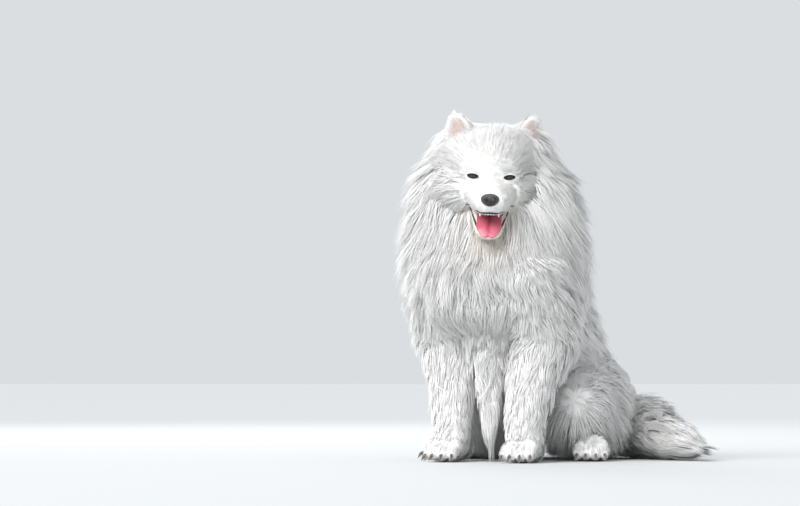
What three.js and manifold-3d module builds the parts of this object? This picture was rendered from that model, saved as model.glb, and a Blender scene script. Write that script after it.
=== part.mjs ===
// A samoyed, life size, that sits up and faces the viewer with its mouth open in a smile.
// Millimetres, +Z up. The face looks along -Y, and the trunk runs back towards +Y and a little towards +X,
// the dog's left. It is modelled whole, coat and all, and parted by thin flat cuts into head, neck, torso,
// legs, paws and tail, with the ears, eyes, nose, jaw and tongue set into the head.
import * as THREE from "three";
import { mergeVertices } from "three/addons/utils/BufferGeometryUtils.js";
import Module from "manifold-3d";

const wasm = await Module();
wasm.setup();

// Driving dimensions
const GAP = 0.3; // between pieces that touch
const TRUNK_TURN = THREE.MathUtils.degToRad(24); // of the trunk, seen from above, away from straight back
const CHEST_X = -9; // the middle of the chest, across from the middle of the skull
const SKULL_CENTRE = new THREE.Vector3(-5, -20, 597);
const RUFF_TURN = THREE.MathUtils.degToRad(10); // of the ruff, which lies between the head and the trunk
const HEAD_ROLL = THREE.MathUtils.degToRad(2.5); // the dog's left ear is the lower one
const HEAD_PITCH = THREE.MathUtils.degToRad(0);
const BURIED = 0.8; // a lock with more than this share of it inside the core is left out
const CORE_SHARE = 0.5; // how much of the coat's depth is a closed core; locks stand on it, out to the tips
const DRAW_IN = 0.5; // how far hair that runs past the end of a limb closes in on its axis
const SUNK = 12; // of each lock's root below the core's surface
const LOCK_SPREAD = 1.05; // from one lock of a row to the next, over their width
const SEED = 31;
const FINENESS = 0.12; // detail smaller than this is left out of each piece
const COAT_FINENESS = 2; // and out of the coat, before it is parted
const FACE_FUR = 6; // short fur that lies flat on the muzzle, jaw and brow

// The two frames that the stations below are measured in
const AHEAD = new THREE.Vector3(-Math.sin(TRUNK_TURN), -Math.cos(TRUNK_TURN), 0);
const LEFT = new THREE.Vector3(Math.cos(TRUNK_TURN), -Math.sin(TRUNK_TURN), 0);
const UP = new THREE.Vector3(0, 0, 1);
const HEAD_TURN = new THREE.Euler(HEAD_PITCH, HEAD_ROLL, 0);

// A point of the trunk: so far ahead of the forelegs, to the dog's left and above the floor.
function onTrunk(ahead, left, up) {
  return new THREE.Vector3(CHEST_X, 0, up).addScaledVector(AHEAD, ahead).addScaledVector(LEFT, left);
}

// A direction in the head's frame, and a point measured from the middle of the skull.
const headWay = (left, ahead, up) => new THREE.Vector3(left, -ahead, up).applyEuler(HEAD_TURN);
const onHead = (left, ahead, up) => headWay(left, ahead, up).add(SKULL_CENTRE);

// A closed surface over rings of points. The first and last ring are one point each.
function skinOver(rings) {
  const sides = rings[1].length;
  const geometry = new THREE.SphereGeometry(1, sides, rings.length - 1);
  const position = geometry.getAttribute("position");
  rings.forEach((ring, row) => {
    for (let column = 0; column <= sides; column++) {
      const point = ring[column % ring.length];
      position.setXYZ(row * (sides + 1) + column, point.x, point.y, point.z);
    }
  });
  geometry.deleteAttribute("normal");
  geometry.deleteAttribute("uv");
  return geometry;
}

// The solid that a closed geometry bounds, turned right side out.
function solidOf(geometry) {
  const merged = mergeVertices(geometry, 1e-4);
  const vertProperties = merged.getAttribute("position").array;
  const triVerts = new Uint32Array(merged.index.array);
  const made = new wasm.Manifold(new wasm.Mesh({ numProp: 3, vertProperties, triVerts }));
  if (made.volume() > 0) return made;
  for (let i = 0; i < triVerts.length; i += 3) [triVerts[i + 1], triVerts[i + 2]] = [triVerts[i + 2], triVerts[i + 1]];
  return new wasm.Manifold(new wasm.Mesh({ numProp: 3, vertProperties, triVerts }));
}

// A station of a limb: its place, the radii of its flesh across, on the top side and on the under side,
// and the depth of coat on each of the three.
const station = (at, flesh, coat) => ({ at, flesh: new THREE.Vector3(...flesh), coat: new THREE.Vector3(...coat) });

// A round-ended form along a smooth spine. `side` is the way across, `top` the way its top side faces,
// and `caps` how far its ends bulge past the first and last station.
class Limb {
  constructor({ stations, side, top, caps }) {
    this.side = side;
    this.top = top;
    this.caps = caps;
    this.spine = new THREE.CatmullRomCurve3(stations.map((s) => s.at));
    this.flesh = new THREE.CatmullRomCurve3(stations.map((s) => s.flesh));
    this.coat = new THREE.CatmullRomCurve3(stations.map((s) => s.coat));
    this.length = this.spine.getLength();
  }

  // How far an end of the limb bulges past its station, with a share of the coat.
  bulge(end, share) {
    const flesh = this.flesh.getPoint(end).x;
    const coat = share * this.coat.getPoint(end).x;
    return (this.caps[Math.round(end)] * (flesh + coat)) / flesh;
  }

  // Centre, axes and radii where the share `along` of the spine is done, with a share of the coat added.
  section(along, share) {
    const within = THREE.MathUtils.clamp(along, 0, 1);
    const tangent = this.spine.getTangent(within);
    const across = this.side.clone().addScaledVector(tangent, -this.side.dot(tangent)).normalize();
    const over = new THREE.Vector3().crossVectors(across, tangent);
    if (over.dot(this.top) < 0) over.negate();
    const past = (along - within) * this.length;
    const cap = Math.abs(past) / this.bulge(within, share);
    const centre = this.spine.getPoint(within).addScaledVector(tangent, past);
    const radii = this.flesh.getPoint(within).addScaledVector(this.coat.getPoint(within), share);
    radii.multiplyScalar(1 - Math.min(DRAW_IN * cap * cap, 0.9));
    return { centre, tangent, across, over, radii };
  }

  // The point of the surface at an angle round the spine, 0 at the side and a quarter turn at the top,
  // lifted off it, and the way out from it.
  surface(along, angle, share, lift = 0, shrink = 1) {
    const { centre, across, over, radii } = this.section(along, share);
    const x = Math.cos(angle);
    const y = Math.sin(angle);
    const high = y > 0 ? radii.y : radii.z;
    const out = across.clone().multiplyScalar(x / radii.x).addScaledVector(over, y / high).normalize();
    const at = centre.addScaledVector(across, x * radii.x * shrink).addScaledVector(over, y * high * shrink);
    return { at: at.addScaledVector(out, lift), out };
  }

  // The closed solid, `steps` rings long with `capRings` more in each end, with a share of the coat's depth
  // and `grow` more all round.
  solid(sides, steps, share = CORE_SHARE, grow = 0, capRings = 2) {
    const rings = [];
    const ring = (along, shrink, slide) => {
      const { tangent } = this.section(along, share);
      const points = [];
      for (let i = 0; i < sides; i++) {
        const { at } = this.surface(along, ((i + 0.5) / sides) * 2 * Math.PI, share, grow * shrink, shrink);
        points.push(at.addScaledVector(tangent, slide));
      }
      rings.push(points);
    };
    const cap = (along, way) => {
      const bulge = this.bulge(along, share) + grow;
      const turns = Array.from({ length: capRings }, (_, k) => ((k + 1) / (capRings + 1)) * (Math.PI / 2));
      for (const turn of way < 0 ? turns.reverse() : turns) ring(along, Math.cos(turn), way * bulge * Math.sin(turn));
      const { centre, tangent } = this.section(along, share);
      return [centre.addScaledVector(tangent, way * bulge)];
    };
    const first = cap(0, -1);
    for (let i = 0; i <= steps; i++) ring(i / steps, 1, 0);
    const last = cap(1, 1);
    return solidOf(skinOver([first, ...rings, last]));
  }
}

// Seeded numbers from 0 to 1, so that the coat is the same every time.
let seed = SEED;
function chance() {
  seed = (seed + 0x6d2b79f5) | 0;
  let mixed = Math.imul(seed ^ (seed >>> 15), 1 | seed);
  mixed = (mixed + Math.imul(mixed ^ (mixed >>> 7), 61 | mixed)) ^ mixed;
  return ((mixed ^ (mixed >>> 14)) >>> 0) / 4294967296;
}
const between = (low, high) => low + (high - low) * chance();

// Where along a lock its three rings lie, and how wide and thick it is there.
const LOCK_RINGS = [
  { along: 0.22, wide: 0.82, deep: 1 },
  { along: 0.52, wide: 1, deep: 0.9 },
  { along: 0.8, wide: 0.62, deep: 0.6 },
];

// A lock of hair, flat below and ridged above, pointed at both ends, that bends along a path.
function lock(path, out, width, depth) {
  const rings = [[path.getPoint(0)]];
  for (const { along, wide, deep } of LOCK_RINGS) {
    const centre = path.getPoint(along);
    const tangent = path.getTangent(along);
    const across = new THREE.Vector3().crossVectors(tangent, out).setLength((wide * width) / 2);
    const over = new THREE.Vector3().crossVectors(across, tangent).setLength(deep * depth);
    rings.push([centre.clone().add(across), centre.clone().add(over), centre.clone().sub(across)]);
  }
  rings.push([path.getPoint(1)]);
  return solidOf(skinOver(rings));
}

// Overlapping rows of locks on a limb, between two shares of its spine and two angles round it. The hair lies
// towards the spine's end, or towards its start where `lie` is -1, and the tips reach the coat's full depth.
function combed(limb, { from, to, rows, angles, length, width, depth, lie = 1, sag = 0 }) {
  const locks = [];
  for (let row = 0; row < rows; row++) {
    const along = from + ((to - from) * row) / Math.max(1, rows - 1);
    const [first, last] = angles;
    const arc = Array.from({ length: 13 }, (_, i) => limb.surface(along, first + ((last - first) * i) / 12, 1).at);
    const reach = arc.slice(1).reduce((sum, at, i) => sum + at.distanceTo(arc[i]), 0);
    const count = Math.max(1, Math.round(reach / (LOCK_SPREAD * width)));
    for (let i = 0; i < count; i++) {
      const step = (last - first) / count;
      const angle = first + step * (i + (row % 2 ? 0.3 : 0.7) + between(-0.15, 0.15));
      const bend = step * between(-0.35, 0.35);
      const start = along + (between(-0.2, 0.2) * length) / limb.length;
      const run = (lie * length * between(0.85, 1.15)) / limb.length;
      const stand = [0.45, 0.8, 1].map((rise) => {
        const share = CORE_SHARE + (1 - CORE_SHARE) * rise;
        return limb.surface(start + run * rise, angle + bend * rise, share).at.addScaledVector(UP, -sag * rise * rise);
      });
      const root = limb.surface(start, angle, CORE_SHARE, -SUNK);
      const path = new THREE.CatmullRomCurve3([root.at, ...stand]);
      locks.push(lock(path, root.out, width * between(0.95, 1.15), depth));
    }
  }
  return locks;
}

const join = (solids) => wasm.Manifold.union(solids);

// Trunk, neck and head

const trunk = new Limb({
  side: LEFT,
  top: UP,
  caps: [55, 62],
  stations: [
    station(onTrunk(10, 0, 385), [80, 70, 70], [60, 60, 50]),
    station(onTrunk(-50, 0, 366), [100, 112, 106], [54, 55, 45]),
    station(onTrunk(-150, 0, 284), [101, 106, 98], [58, 54, 40]),
    station(onTrunk(-240, 0, 188), [98, 98, 78], [58, 54, 35]),
    station(onTrunk(-305, 0, 112), [92, 92, 70], [52, 50, 30]),
  ],
});

// The ruff is the neck's coat, deepest at the sides and short under the jaw.
const neck = new Limb({
  side: new THREE.Vector3(Math.cos(RUFF_TURN), -Math.sin(RUFF_TURN), 0),
  top: new THREE.Vector3(Math.sin(RUFF_TURN), Math.cos(RUFF_TURN), 0),
  caps: [40, 36],
  stations: [
    station(onTrunk(-16, 6, 330), [100, 94, 66], [92, 60, 58]),
    station(onTrunk(-16, 4, 415), [92, 92, 66], [104, 62, 62]),
    station(onHead(6, -26, -96), [78, 68, 46], [110, 54, 44]),
    station(onHead(2, -38, -20), [70, 54, 42], [104, 46, 34]),
    station(onHead(2, -38, 30), [60, 46, 38], [78, 38, 24]),
  ],
});

// The brisket's long hair, which hangs between the forelegs.
const apron = new Limb({
  side: LEFT,
  top: AHEAD,
  caps: [20, 30],
  stations: [
    station(onTrunk(14, 0, 290), [44, 26, 30], [14, 16, 14]),
    station(onTrunk(4, 0, 195), [24, 14, 18], [12, 12, 12]),
    station(onTrunk(-2, 0, 100), [11, 8, 9], [10, 8, 8]),
  ],
});

const tail = new Limb({
  side: AHEAD,
  top: UP,
  caps: [20, 26],
  stations: [
    station(onTrunk(-330, 20, 72), [26, 26, 26], [40, 50, 40]),
    station(onTrunk(-372, 100, 60), [25, 25, 25], [58, 74, 34]),
    station(onTrunk(-350, 200, 50), [21, 21, 21], [56, 68, 30]),
    station(onTrunk(-296, 278, 38), [13, 13, 13], [42, 40, 26]),
  ],
});

const HEAD_SIDE = headWay(1, 0, 0);
const HEAD_UP = headWay(0, 0, 1);
const skull = new Limb({
  side: HEAD_SIDE,
  top: HEAD_UP,
  caps: [26, 24],
  stations: [
    station(onHead(0, -60, 4), [48, 44, 44], [48, 34, 40]),
    station(onHead(0, -26, 8), [62, 50, 54], [54, 34, 40]),
    station(onHead(0, 16, 2), [60, 46, 52], [34, 24, 26]),
    station(onHead(0, 46, -12), [48, 30, 34], [10, 9, 8]),
  ],
});

const muzzle = new Limb({
  side: HEAD_SIDE,
  top: HEAD_UP,
  caps: [20, 8],
  stations: [
    station(onHead(0, 20, -44), [54, 34, 34], [FACE_FUR, FACE_FUR, FACE_FUR]),
    station(onHead(0, 72, -61), [42, 27, 32], [FACE_FUR, 4, FACE_FUR]),
    station(onHead(0, 112, -73), [33, 23, 25], [FACE_FUR, 3, 4]),
    station(onHead(0, 128, -78), [27, 18, 21], [4, 2, 3]),
  ],
});

// Pairs, with `hand` 1 on the dog's left and -1 on its right

const cheek = (hand) =>
  new Limb({
    side: HEAD_SIDE,
    top: HEAD_UP,
    caps: [22, 20],
    stations: [
      station(onHead(hand * 40, -10, -34), [32, 40, 42], [50, 26, 44]),
      station(onHead(hand * 34, 38, -50), [26, 28, 30], [14, 8, 14]),
    ],
  });

const brow = (hand) =>
  new Limb({
    side: headWay(0, 0, 1),
    top: headWay(0, 1, 0),
    caps: [8, 8],
    stations: [
      station(onHead(hand * 16, 62, -3), [9, 9, 9], [4, 4, 4]),
      station(onHead(hand * 34, 58, -2), [10, 10, 10], [4, 4, 4]),
      station(onHead(hand * 52, 40, -9), [9, 9, 9], [4, 4, 4]),
    ],
  });

const foreleg = (hand) =>
  new Limb({
    side: LEFT,
    top: AHEAD,
    caps: [30, 14],
    stations: [
      station(onTrunk(12, hand * 92, 376), [40, 52, 50], [52, 40, 40]),
      station(onTrunk(-12, hand * 97, 312), [42, 46, 50], [54, 34, 46]),
      station(onTrunk(-30, hand * 94, 244), [36, 36, 42], [54, 22, 60]),
      station(onTrunk(-10, hand * 86, 166), [28, 28, 30], [30, 16, 52]),
      station(onTrunk(8, hand * 82, 88), [26, 25, 26], [19, 14, 26]),
      station(onTrunk(14, hand * 82, 46), [29, 26, 26], [14, 12, 14]),
    ],
  });

const thigh = (hand) =>
  new Limb({
    side: LEFT,
    top: UP,
    caps: [52, 42],
    stations: [
      station(onTrunk(-286, hand * 92, 118), [62, 80, 74], [46, 54, 34]),
      station(onTrunk(-215, hand * 112, 118), [58, 68, 76], [42, 48, 30]),
      station(onTrunk(-156, hand * 126, 122), [44, 46, 60], [34, 34, 26]),
    ],
  });

const shank = (hand) =>
  new Limb({
    side: LEFT,
    top: AHEAD,
    caps: [18, 14],
    stations: [
      station(onTrunk(-142, hand * 136, 112), [34, 30, 30], [24, 22, 22]),
      station(onTrunk(-210, hand * 132, 70), [28, 26, 26], [22, 18, 22]),
      station(onTrunk(-278, hand * 128, 44), [22, 20, 20], [18, 16, 18]),
    ],
  });

// A paw rests along the floor from `heel` to `toe`; its toes fan out ahead of it.
function foot(heel, toe, width) {
  const way = toe.clone().sub(heel).setZ(0).normalize();
  const across = new THREE.Vector3().crossVectors(UP, way);
  return { heel, toe, width, way, across };
}
const forefoot = (hand) => foot(onTrunk(-8, hand * 82, 34), onTrunk(34, hand * 84, 28), 31);
const hindfoot = (hand) => foot(onTrunk(-262, hand * 126, 34), onTrunk(-134, hand * 168, 28), 30);

const TOES = 4;
const TOE_FAN = THREE.MathUtils.degToRad(11);
const TOE_LENGTH = 30;

const sole = ({ heel, toe, width, across }) =>
  new Limb({
    side: across,
    top: UP,
    caps: [16, 10],
    stations: [
      station(heel, [width * 0.86, 26, 26], [14, 14, 12]),
      station(heel.clone().lerp(toe, 0.55), [width * 0.94, 24, 24], [12, 12, 12]),
      station(toe, [width, 22, 22], [9, 9, 9]),
    ],
  });

// Each toe's root, knuckle and tip, from the inner toe to the outer one.
function toes({ toe, width, way, across }) {
  return Array.from({ length: TOES }, (_, i) => {
    const place = (i - (TOES - 1) / 2) / ((TOES - 1) / 2);
    const middle = 1 - Math.abs(place);
    const lead = way.clone().applyAxisAngle(UP, -place * TOE_FAN * 1.5);
    const root = toe.clone().addScaledVector(across, -place * width * 0.66).setZ(24);
    const knuckle = root.clone().addScaledVector(lead, TOE_LENGTH * (0.45 + 0.25 * middle)).setZ(23);
    const tip = root.clone().addScaledVector(lead, TOE_LENGTH * (0.8 + 0.35 * middle)).setZ(14);
    return { root, knuckle, tip, lead, place };
  });
}

const toeSolid = ({ root, knuckle, tip, lead }) =>
  new Limb({
    side: new THREE.Vector3().crossVectors(UP, lead),
    top: UP,
    caps: [8, 6],
    stations: [
      station(root, [11, 15, 14], [4, 4, 4]),
      station(knuckle, [11, 13, 14], [4, 4, 4]),
      station(tip, [8, 8, 10], [3, 3, 3]),
    ],
  }).solid(6, 2, 1, 0, 1);

// A claw curves down from its toe to just off the floor.
function claw({ tip, lead }) {
  const root = tip.clone().addScaledVector(lead, 2).setZ(15);
  const bend = tip.clone().addScaledVector(lead, 12).setZ(12.5);
  const point = tip.clone().addScaledVector(lead, 19).setZ(4);
  return new Limb({
    side: new THREE.Vector3().crossVectors(UP, lead),
    top: UP,
    caps: [3, 2],
    stations: [
      station(root, [3.2, 3.8, 3.8], [0, 0, 0]),
      station(bend, [2.7, 3.2, 3.2], [0, 0, 0]),
      station(point, [0.8, 0.8, 0.8], [0, 0, 0]),
    ],
  }).solid(4, 2, 0, 0, 1);
}

const paw = (shape) => [sole(shape).solid(10, 3, 1, 0, 1), ...toes(shape).flatMap((toe) => [toeSolid(toe), claw(toe)])];

// The whole coated dog but for what is set into the head

const HANDS = { left: 1, right: -1 };
const hands = Object.values(HANDS);
const core = join([
  trunk.solid(16, 7),
  neck.solid(16, 7),
  apron.solid(8, 4),
  tail.solid(12, 6),
  skull.solid(18, 7),
  muzzle.solid(16, 6, 1),
  ...hands.flatMap((hand) => [
    cheek(hand).solid(12, 3),
    brow(hand).solid(6, 4, 0),
    foreleg(hand).solid(12, 9),
    thigh(hand).solid(14, 6),
    shank(hand).solid(8, 3),
    ...paw(forefoot(hand)),
    ...paw(hindfoot(hand)),
  ]),
]);

// The coat's locks, with angles counted from the dog's left side over the top

const turn = (degrees) => THREE.MathUtils.degToRad(degrees);
const BACK = { rows: 4, length: 116, width: 70, depth: 15 };
const RUFF = { rows: 5, length: 118, width: 68, depth: 16, lie: -1 };
const APRON = { rows: 2, length: 96, width: 34, depth: 11 };
const PLUME = { rows: 4, length: 110, width: 60, depth: 15 };
const CROWN = { rows: 1, length: 66, width: 46, depth: 11, lie: -1 };
const CHEEK = { rows: 2, length: 72, width: 46, depth: 12, lie: -1 };
const FEATHER = { rows: 4, length: 110, width: 52, depth: 13 };
const BREECHES = { rows: 3, length: 96, width: 60, depth: 14, lie: -1, sag: 10 };

// Two angles of the dog's left side, and of the right where `hand` is -1.
const angles = (hand, first, last) => (hand > 0 ? [turn(first), turn(last)] : [turn(180 - last), turn(180 - first)]);
const locks = [
  ...combed(trunk, { from: 0.3, to: 0.96, angles: angles(1, -10, 190), ...BACK }),
  ...combed(neck, { from: 0.98, to: 0.14, angles: angles(1, -196, 164), ...RUFF }),
  ...combed(apron, { from: 0.1, to: 0.6, angles: angles(1, 20, 160), ...APRON }),
  ...combed(tail, { from: 0.14, to: 0.92, angles: angles(1, -10, 190), ...PLUME }),
  ...combed(skull, { from: 0.5, to: 0.5, angles: angles(1, 20, 160), ...CROWN }),
  ...hands.flatMap((hand) => [
    ...combed(cheek(hand), { from: 0.6, to: 0.1, angles: angles(hand, -100, 60), ...CHEEK }),
    ...combed(foreleg(hand), { from: 0.08, to: 0.66, angles: angles(hand, -110, 20), ...FEATHER }),
    ...combed(thigh(hand), { from: 0.95, to: 0.1, angles: angles(hand, -70, 70), ...BREECHES }),
  ]),
];
const showing = locks.filter((one) => one.intersect(core).volume() < BURIED * one.volume());
const whole = join([core, ...showing]).asOriginal().simplify(COAT_FINENESS).trimByPlane([0, 0, 1], 0);

// Parting cuts: each region is what lies past all of its planes

const plane = (through, facing) => ({ facing: facing.clone().normalize(), through });
const trunkWay = (ahead, left, up) =>
  new THREE.Vector3(0, 0, up).addScaledVector(AHEAD, ahead).addScaledVector(LEFT, left);

const everything = wasm.Manifold.cube([4000, 4000, 4000], true);

// The part of space that lies past every plane, and so much further.
const past = (planes, further) =>
  planes.reduce(
    (space, { facing, through }) => space.trimByPlane(facing.toArray(), through.dot(facing) + further),
    everything,
  );

// What the planes cut off a solid, and the rest, with the gap between them.
const part = (solid, planes) => [
  solid.intersect(past(planes, GAP / 2)),
  solid.subtract(past(planes, -GAP / 2)),
];

const keepLargest = (solid) =>
  solid.decompose().reduce((best, body) => (body.volume() > best.volume() ? body : best));

const PAW_TOP = 60;
const onFloor = plane(new THREE.Vector3(0, 0, PAW_TOP), new THREE.Vector3(0, 0, -1));
const regions = {
  tail: [plane(new THREE.Vector3(261, 230, 140), new THREE.Vector3(0.735, 0.647, -0.2))],
  head: [
    plane(onHead(0, -32, -10), headWay(0, 0.93, 0.36)),
    plane(onHead(0, 60, -166), headWay(0, -0.35, 0.94)),
  ],
  neck: [plane(onTrunk(0, 0, 360), trunkWay(0.52, 0, 0.85))],
  ...Object.fromEntries(
    Object.entries(HANDS).flatMap(([name, hand]) => {
      const legPlanes = [
        plane(onTrunk(0, hand * 40, 0), trunkWay(0, hand, 0)),
        plane(onTrunk(-84, 0, 0), trunkWay(1, 0, 0)),
        plane(onTrunk(0, 0, 292), trunkWay(0.25, 0, -1)),
      ];
      const thighPlanes = [
        plane(onTrunk(0, hand * 100, 190), trunkWay(0, hand * 0.8, -0.6)),
        plane(onTrunk(-84.4, 0, 0), trunkWay(-1, 0, 0)),
      ];
      return [
        ["forepaw_" + name, [...legPlanes, onFloor]],
        ["foreleg_" + name, legPlanes],
        ["hindpaw_" + name, [...thighPlanes, onFloor]],
        ["thigh_" + name, thighPlanes],
      ];
    }),
  ),
};

const pieces = {};
let remaining = whole;
for (const [name, planes] of Object.entries(regions)) [pieces[name], remaining] = part(remaining, planes);
pieces.torso = remaining;

// What is set into the head. Each function takes how much bigger to make the form all round.

const NO_COAT = [0, 0, 0];

// The ear stands on the corner of the skull and opens ahead; the cup is cut from its front.
const earAxis = (hand, up) => onHead(2 + hand * (60 + 0.3 * (up - 30)), -12 + 0.06 * (up - 30), up);
const earWay = (hand) => headWay(hand * 0.3, 1, 0);
const earForm = (hand, grow) =>
  new Limb({
    side: headWay(1, -hand * 0.3, 0),
    top: earWay(hand),
    caps: [6, 8],
    stations: [
      station(earAxis(hand, 26), [29, 10, 12], NO_COAT),
      station(earAxis(hand, 58), [32, 9, 10], NO_COAT),
      station(earAxis(hand, 84), [26, 7, 8], NO_COAT),
      station(earAxis(hand, 102), [14, 5, 6], NO_COAT),
    ],
  }).solid(10, 4, 0, grow, 1);
const earCup = (hand) =>
  new Limb({
    side: headWay(1, -hand * 0.3, 0),
    top: earWay(hand),
    caps: [6, 9],
    stations: [
      station(earAxis(hand, 48).addScaledVector(earWay(hand), 8), [17, 9, 9], NO_COAT),
      station(earAxis(hand, 66).addScaledVector(earWay(hand), 8), [21, 9, 10], NO_COAT),
      station(earAxis(hand, 88).addScaledVector(earWay(hand), 7), [13, 8, 6], NO_COAT),
    ],
  }).solid(10, 3, 0, 0, 1);

const EYE_RADIUS = 11.5;
const eyeCentre = (hand) => onHead(hand * 37, 56, -22);
const eyeBall = (hand, grow) =>
  solidOf(
    new THREE.SphereGeometry(EYE_RADIUS + grow, 12, 8)
      .deleteAttribute("normal")
      .deleteAttribute("uv")
      .translate(...eyeCentre(hand).toArray()),
  );

// The slit between the lids: outer corner, middle and inner corner, squinting in a smile.
const slitAt = (hand, across, up) => onHead(hand * (37 + across), 56 + 12, -22 + up);
const eyeSlit = (hand) =>
  new Limb({
    side: headWay(0, 1, 0),
    top: HEAD_UP,
    caps: [2, 2],
    stations: [
      station(slitAt(hand, -10, -2), [14, 1.6, 1.6], NO_COAT),
      station(slitAt(hand, 0, -0.5), [14, 4.6, 5], NO_COAT),
      station(slitAt(hand, 10, -0.5), [14, 1.4, 1.4], NO_COAT),
    ],
  }).solid(8, 3, 0, 0, 1);

const lid = (hand, rise) =>
  new Limb({
    side: headWay(0, 1, 0),
    top: HEAD_UP,
    caps: [2, 2],
    stations: [
      station(onHead(hand * 25, 65, -24), [3, 2, 2], NO_COAT),
      station(onHead(hand * 37, 68.5, -22.5 + rise), [3.4, 2.2, 2.2], NO_COAT),
      station(onHead(hand * 49, 61, -22.5), [3, 2, 2], NO_COAT),
    ],
  }).solid(5, 4, 0, 0, 1);

const noseForm = (grow) =>
  new Limb({
    side: HEAD_SIDE,
    top: HEAD_UP,
    caps: [4, 6],
    stations: [
      station(onHead(0, 126, -68), [17, 9, 12], NO_COAT),
      station(onHead(0, 136, -72), [18.5, 11, 15], NO_COAT),
      station(onHead(0, 144, -75), [14, 9, 12], NO_COAT),
    ],
  }).solid(12, 3, 0, grow, 1);
const nostril = (hand) =>
  new Limb({
    side: HEAD_SIDE,
    top: HEAD_UP,
    caps: [2, 2],
    stations: [
      station(onHead(hand * 6.5, 143, -74), [3, 3.4, 3.4], NO_COAT),
      station(onHead(hand * 10, 150, -75), [4.2, 3.8, 3.8], NO_COAT),
      station(onHead(hand * 17, 150, -78), [4, 2, 2], NO_COAT),
    ],
  }).solid(6, 2, 0, 0, 1);

const jawForm = (grow) =>
  new Limb({
    side: HEAD_SIDE,
    top: HEAD_UP,
    caps: [10, 12],
    stations: [
      station(onHead(0, 12, -76), [42, 14, 22], [4, 2, 6]),
      station(onHead(0, 54, -111), [33, 10, 20], [4, 2, 6]),
      station(onHead(0, 90, -138), [23, 9, 14], [4, 1, 5]),
    ],
  }).solid(14, 5, 1, grow);

const tongueForm = (grow) =>
  new Limb({
    side: HEAD_SIDE,
    top: headWay(0, 0.6, 0.8),
    caps: [4, 9],
    stations: [
      station(onHead(0, 40, -84), [20, 5, 8], NO_COAT),
      station(onHead(0, 74, -104), [25, 5, 7], NO_COAT),
      station(onHead(0, 99, -122), [24, 4.5, 5], NO_COAT),
      station(onHead(0, 109, -131), [15, 3.5, 4], NO_COAT),
    ],
  }).solid(12, 6, 0, grow);

// The dark hollow between the palate and the tongue.
const mouthHollow = new Limb({
  side: HEAD_SIDE,
  top: HEAD_UP,
  caps: [4, 30],
  stations: [
    station(onHead(0, 34, -80), [26, 8, 8], NO_COAT),
    station(onHead(0, 80, -100), [28, 13, 9], NO_COAT),
    station(onHead(0, 118, -115), [25, 20, 10], NO_COAT),
  ],
}).solid(12, 4, 0, 0, 1);

// The lips: a rim along each side of the opening, from corner to corner round the front.
function rim(points, radius) {
  return new Limb({
    side: HEAD_UP,
    top: headWay(0, 1, 0),
    caps: [1, 1],
    stations: points.map((at) => station(at, [radius, radius, radius], NO_COAT)),
  }).solid(4, 10, 0, 0, 1);
}
const upperLip = rim(
  [
    onHead(-50, 44, -82),
    onHead(-40, 82, -97),
    onHead(-27, 117, -100),
    onHead(0, 130, -97),
    onHead(27, 117, -100),
    onHead(40, 82, -97),
    onHead(50, 44, -82),
  ],
  2.4,
);
const lowerLip = rim(
  [
    onHead(-42, 38, -86),
    onHead(-32, 66, -105),
    onHead(-22, 94, -122),
    onHead(0, 106, -129),
    onHead(22, 94, -122),
    onHead(32, 66, -105),
    onHead(42, 38, -86),
  ],
  2.4,
);

// Upper incisors and canines hang from the palate's edge; the number counts from the middle outwards.
const TOOTH_PLACES = [2.6, 8, 18.5];
const toothLength = (rank) => (rank === TOOTH_PLACES.length - 1 ? 12 : 6);
const tooth = (hand, rank) => {
  const across = hand * TOOTH_PLACES[rank];
  const ahead = 124 - 0.03 * across * across;
  return new Limb({
    side: HEAD_SIDE,
    top: headWay(0, 1, 0),
    caps: [1, 0.8],
    stations: [
      station(onHead(across, ahead, -90), [2.1, 1.8, 1.8], NO_COAT),
      station(onHead(across, ahead, -96 - toothLength(rank)), [0.9, 0.7, 0.7], NO_COAT),
    ],
  }).solid(4, 1, 0, 0, 1);
};

const eyes = (grow) => join(hands.map((hand) => eyeBall(hand, grow)));
const ears = (grow) => join(hands.map((hand) => earForm(hand, grow)));
const teeth = join(hands.flatMap((hand) => TOOTH_PLACES.map((_, rank) => tooth(hand, rank))));
const tongueRoom = tongueForm(GAP);

let head = join([pieces.head, ...hands.flatMap((hand) => [lid(hand, 6), lid(hand, -6.5)])]);
head = head.subtract(join(hands.map(eyeSlit))).subtract(mouthHollow);
head = join([head, upperLip, teeth]);
head = head.subtract(join([jawForm(GAP), lowerLip, tongueRoom, noseForm(GAP), eyes(GAP), ears(GAP)]));
pieces.head = head;
pieces.neck = pieces.neck.subtract(join([ears(GAP), jawForm(GAP), lowerLip]));
pieces.jaw = join([jawForm(0).subtract(mouthHollow), lowerLip]).subtract(tongueRoom).subtract(upperLip);
pieces.tongue = tongueForm(0);
pieces.nose = noseForm(0).subtract(join(hands.map(nostril)));
for (const [name, hand] of Object.entries(HANDS)) {
  pieces["ear_" + name] = earForm(hand, 0).subtract(earCup(hand));
  pieces["eye_" + name] = eyeBall(hand, 0);
}

// Materials

const coatWhite = new THREE.MeshStandardMaterial({ color: "#f2f1ee", roughness: 0.95, metalness: 0 });
const earPink = new THREE.MeshStandardMaterial({ color: "#f3e4df", roughness: 0.9, metalness: 0 });
const noseBlack = new THREE.MeshStandardMaterial({ color: "#3b3437", roughness: 0.45, metalness: 0 });
const eyeBrown = new THREE.MeshStandardMaterial({ color: "#241d1c", roughness: 0.08, metalness: 0 });
const tonguePink = new THREE.MeshStandardMaterial({ color: "#d4667f", roughness: 0.4, metalness: 0 });
const finishOf = (name) => {
  if (name.startsWith("ear")) return earPink;
  if (name.startsWith("eye")) return eyeBrown;
  return { nose: noseBlack, tongue: tonguePink }[name] ?? coatWhite;
};

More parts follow.
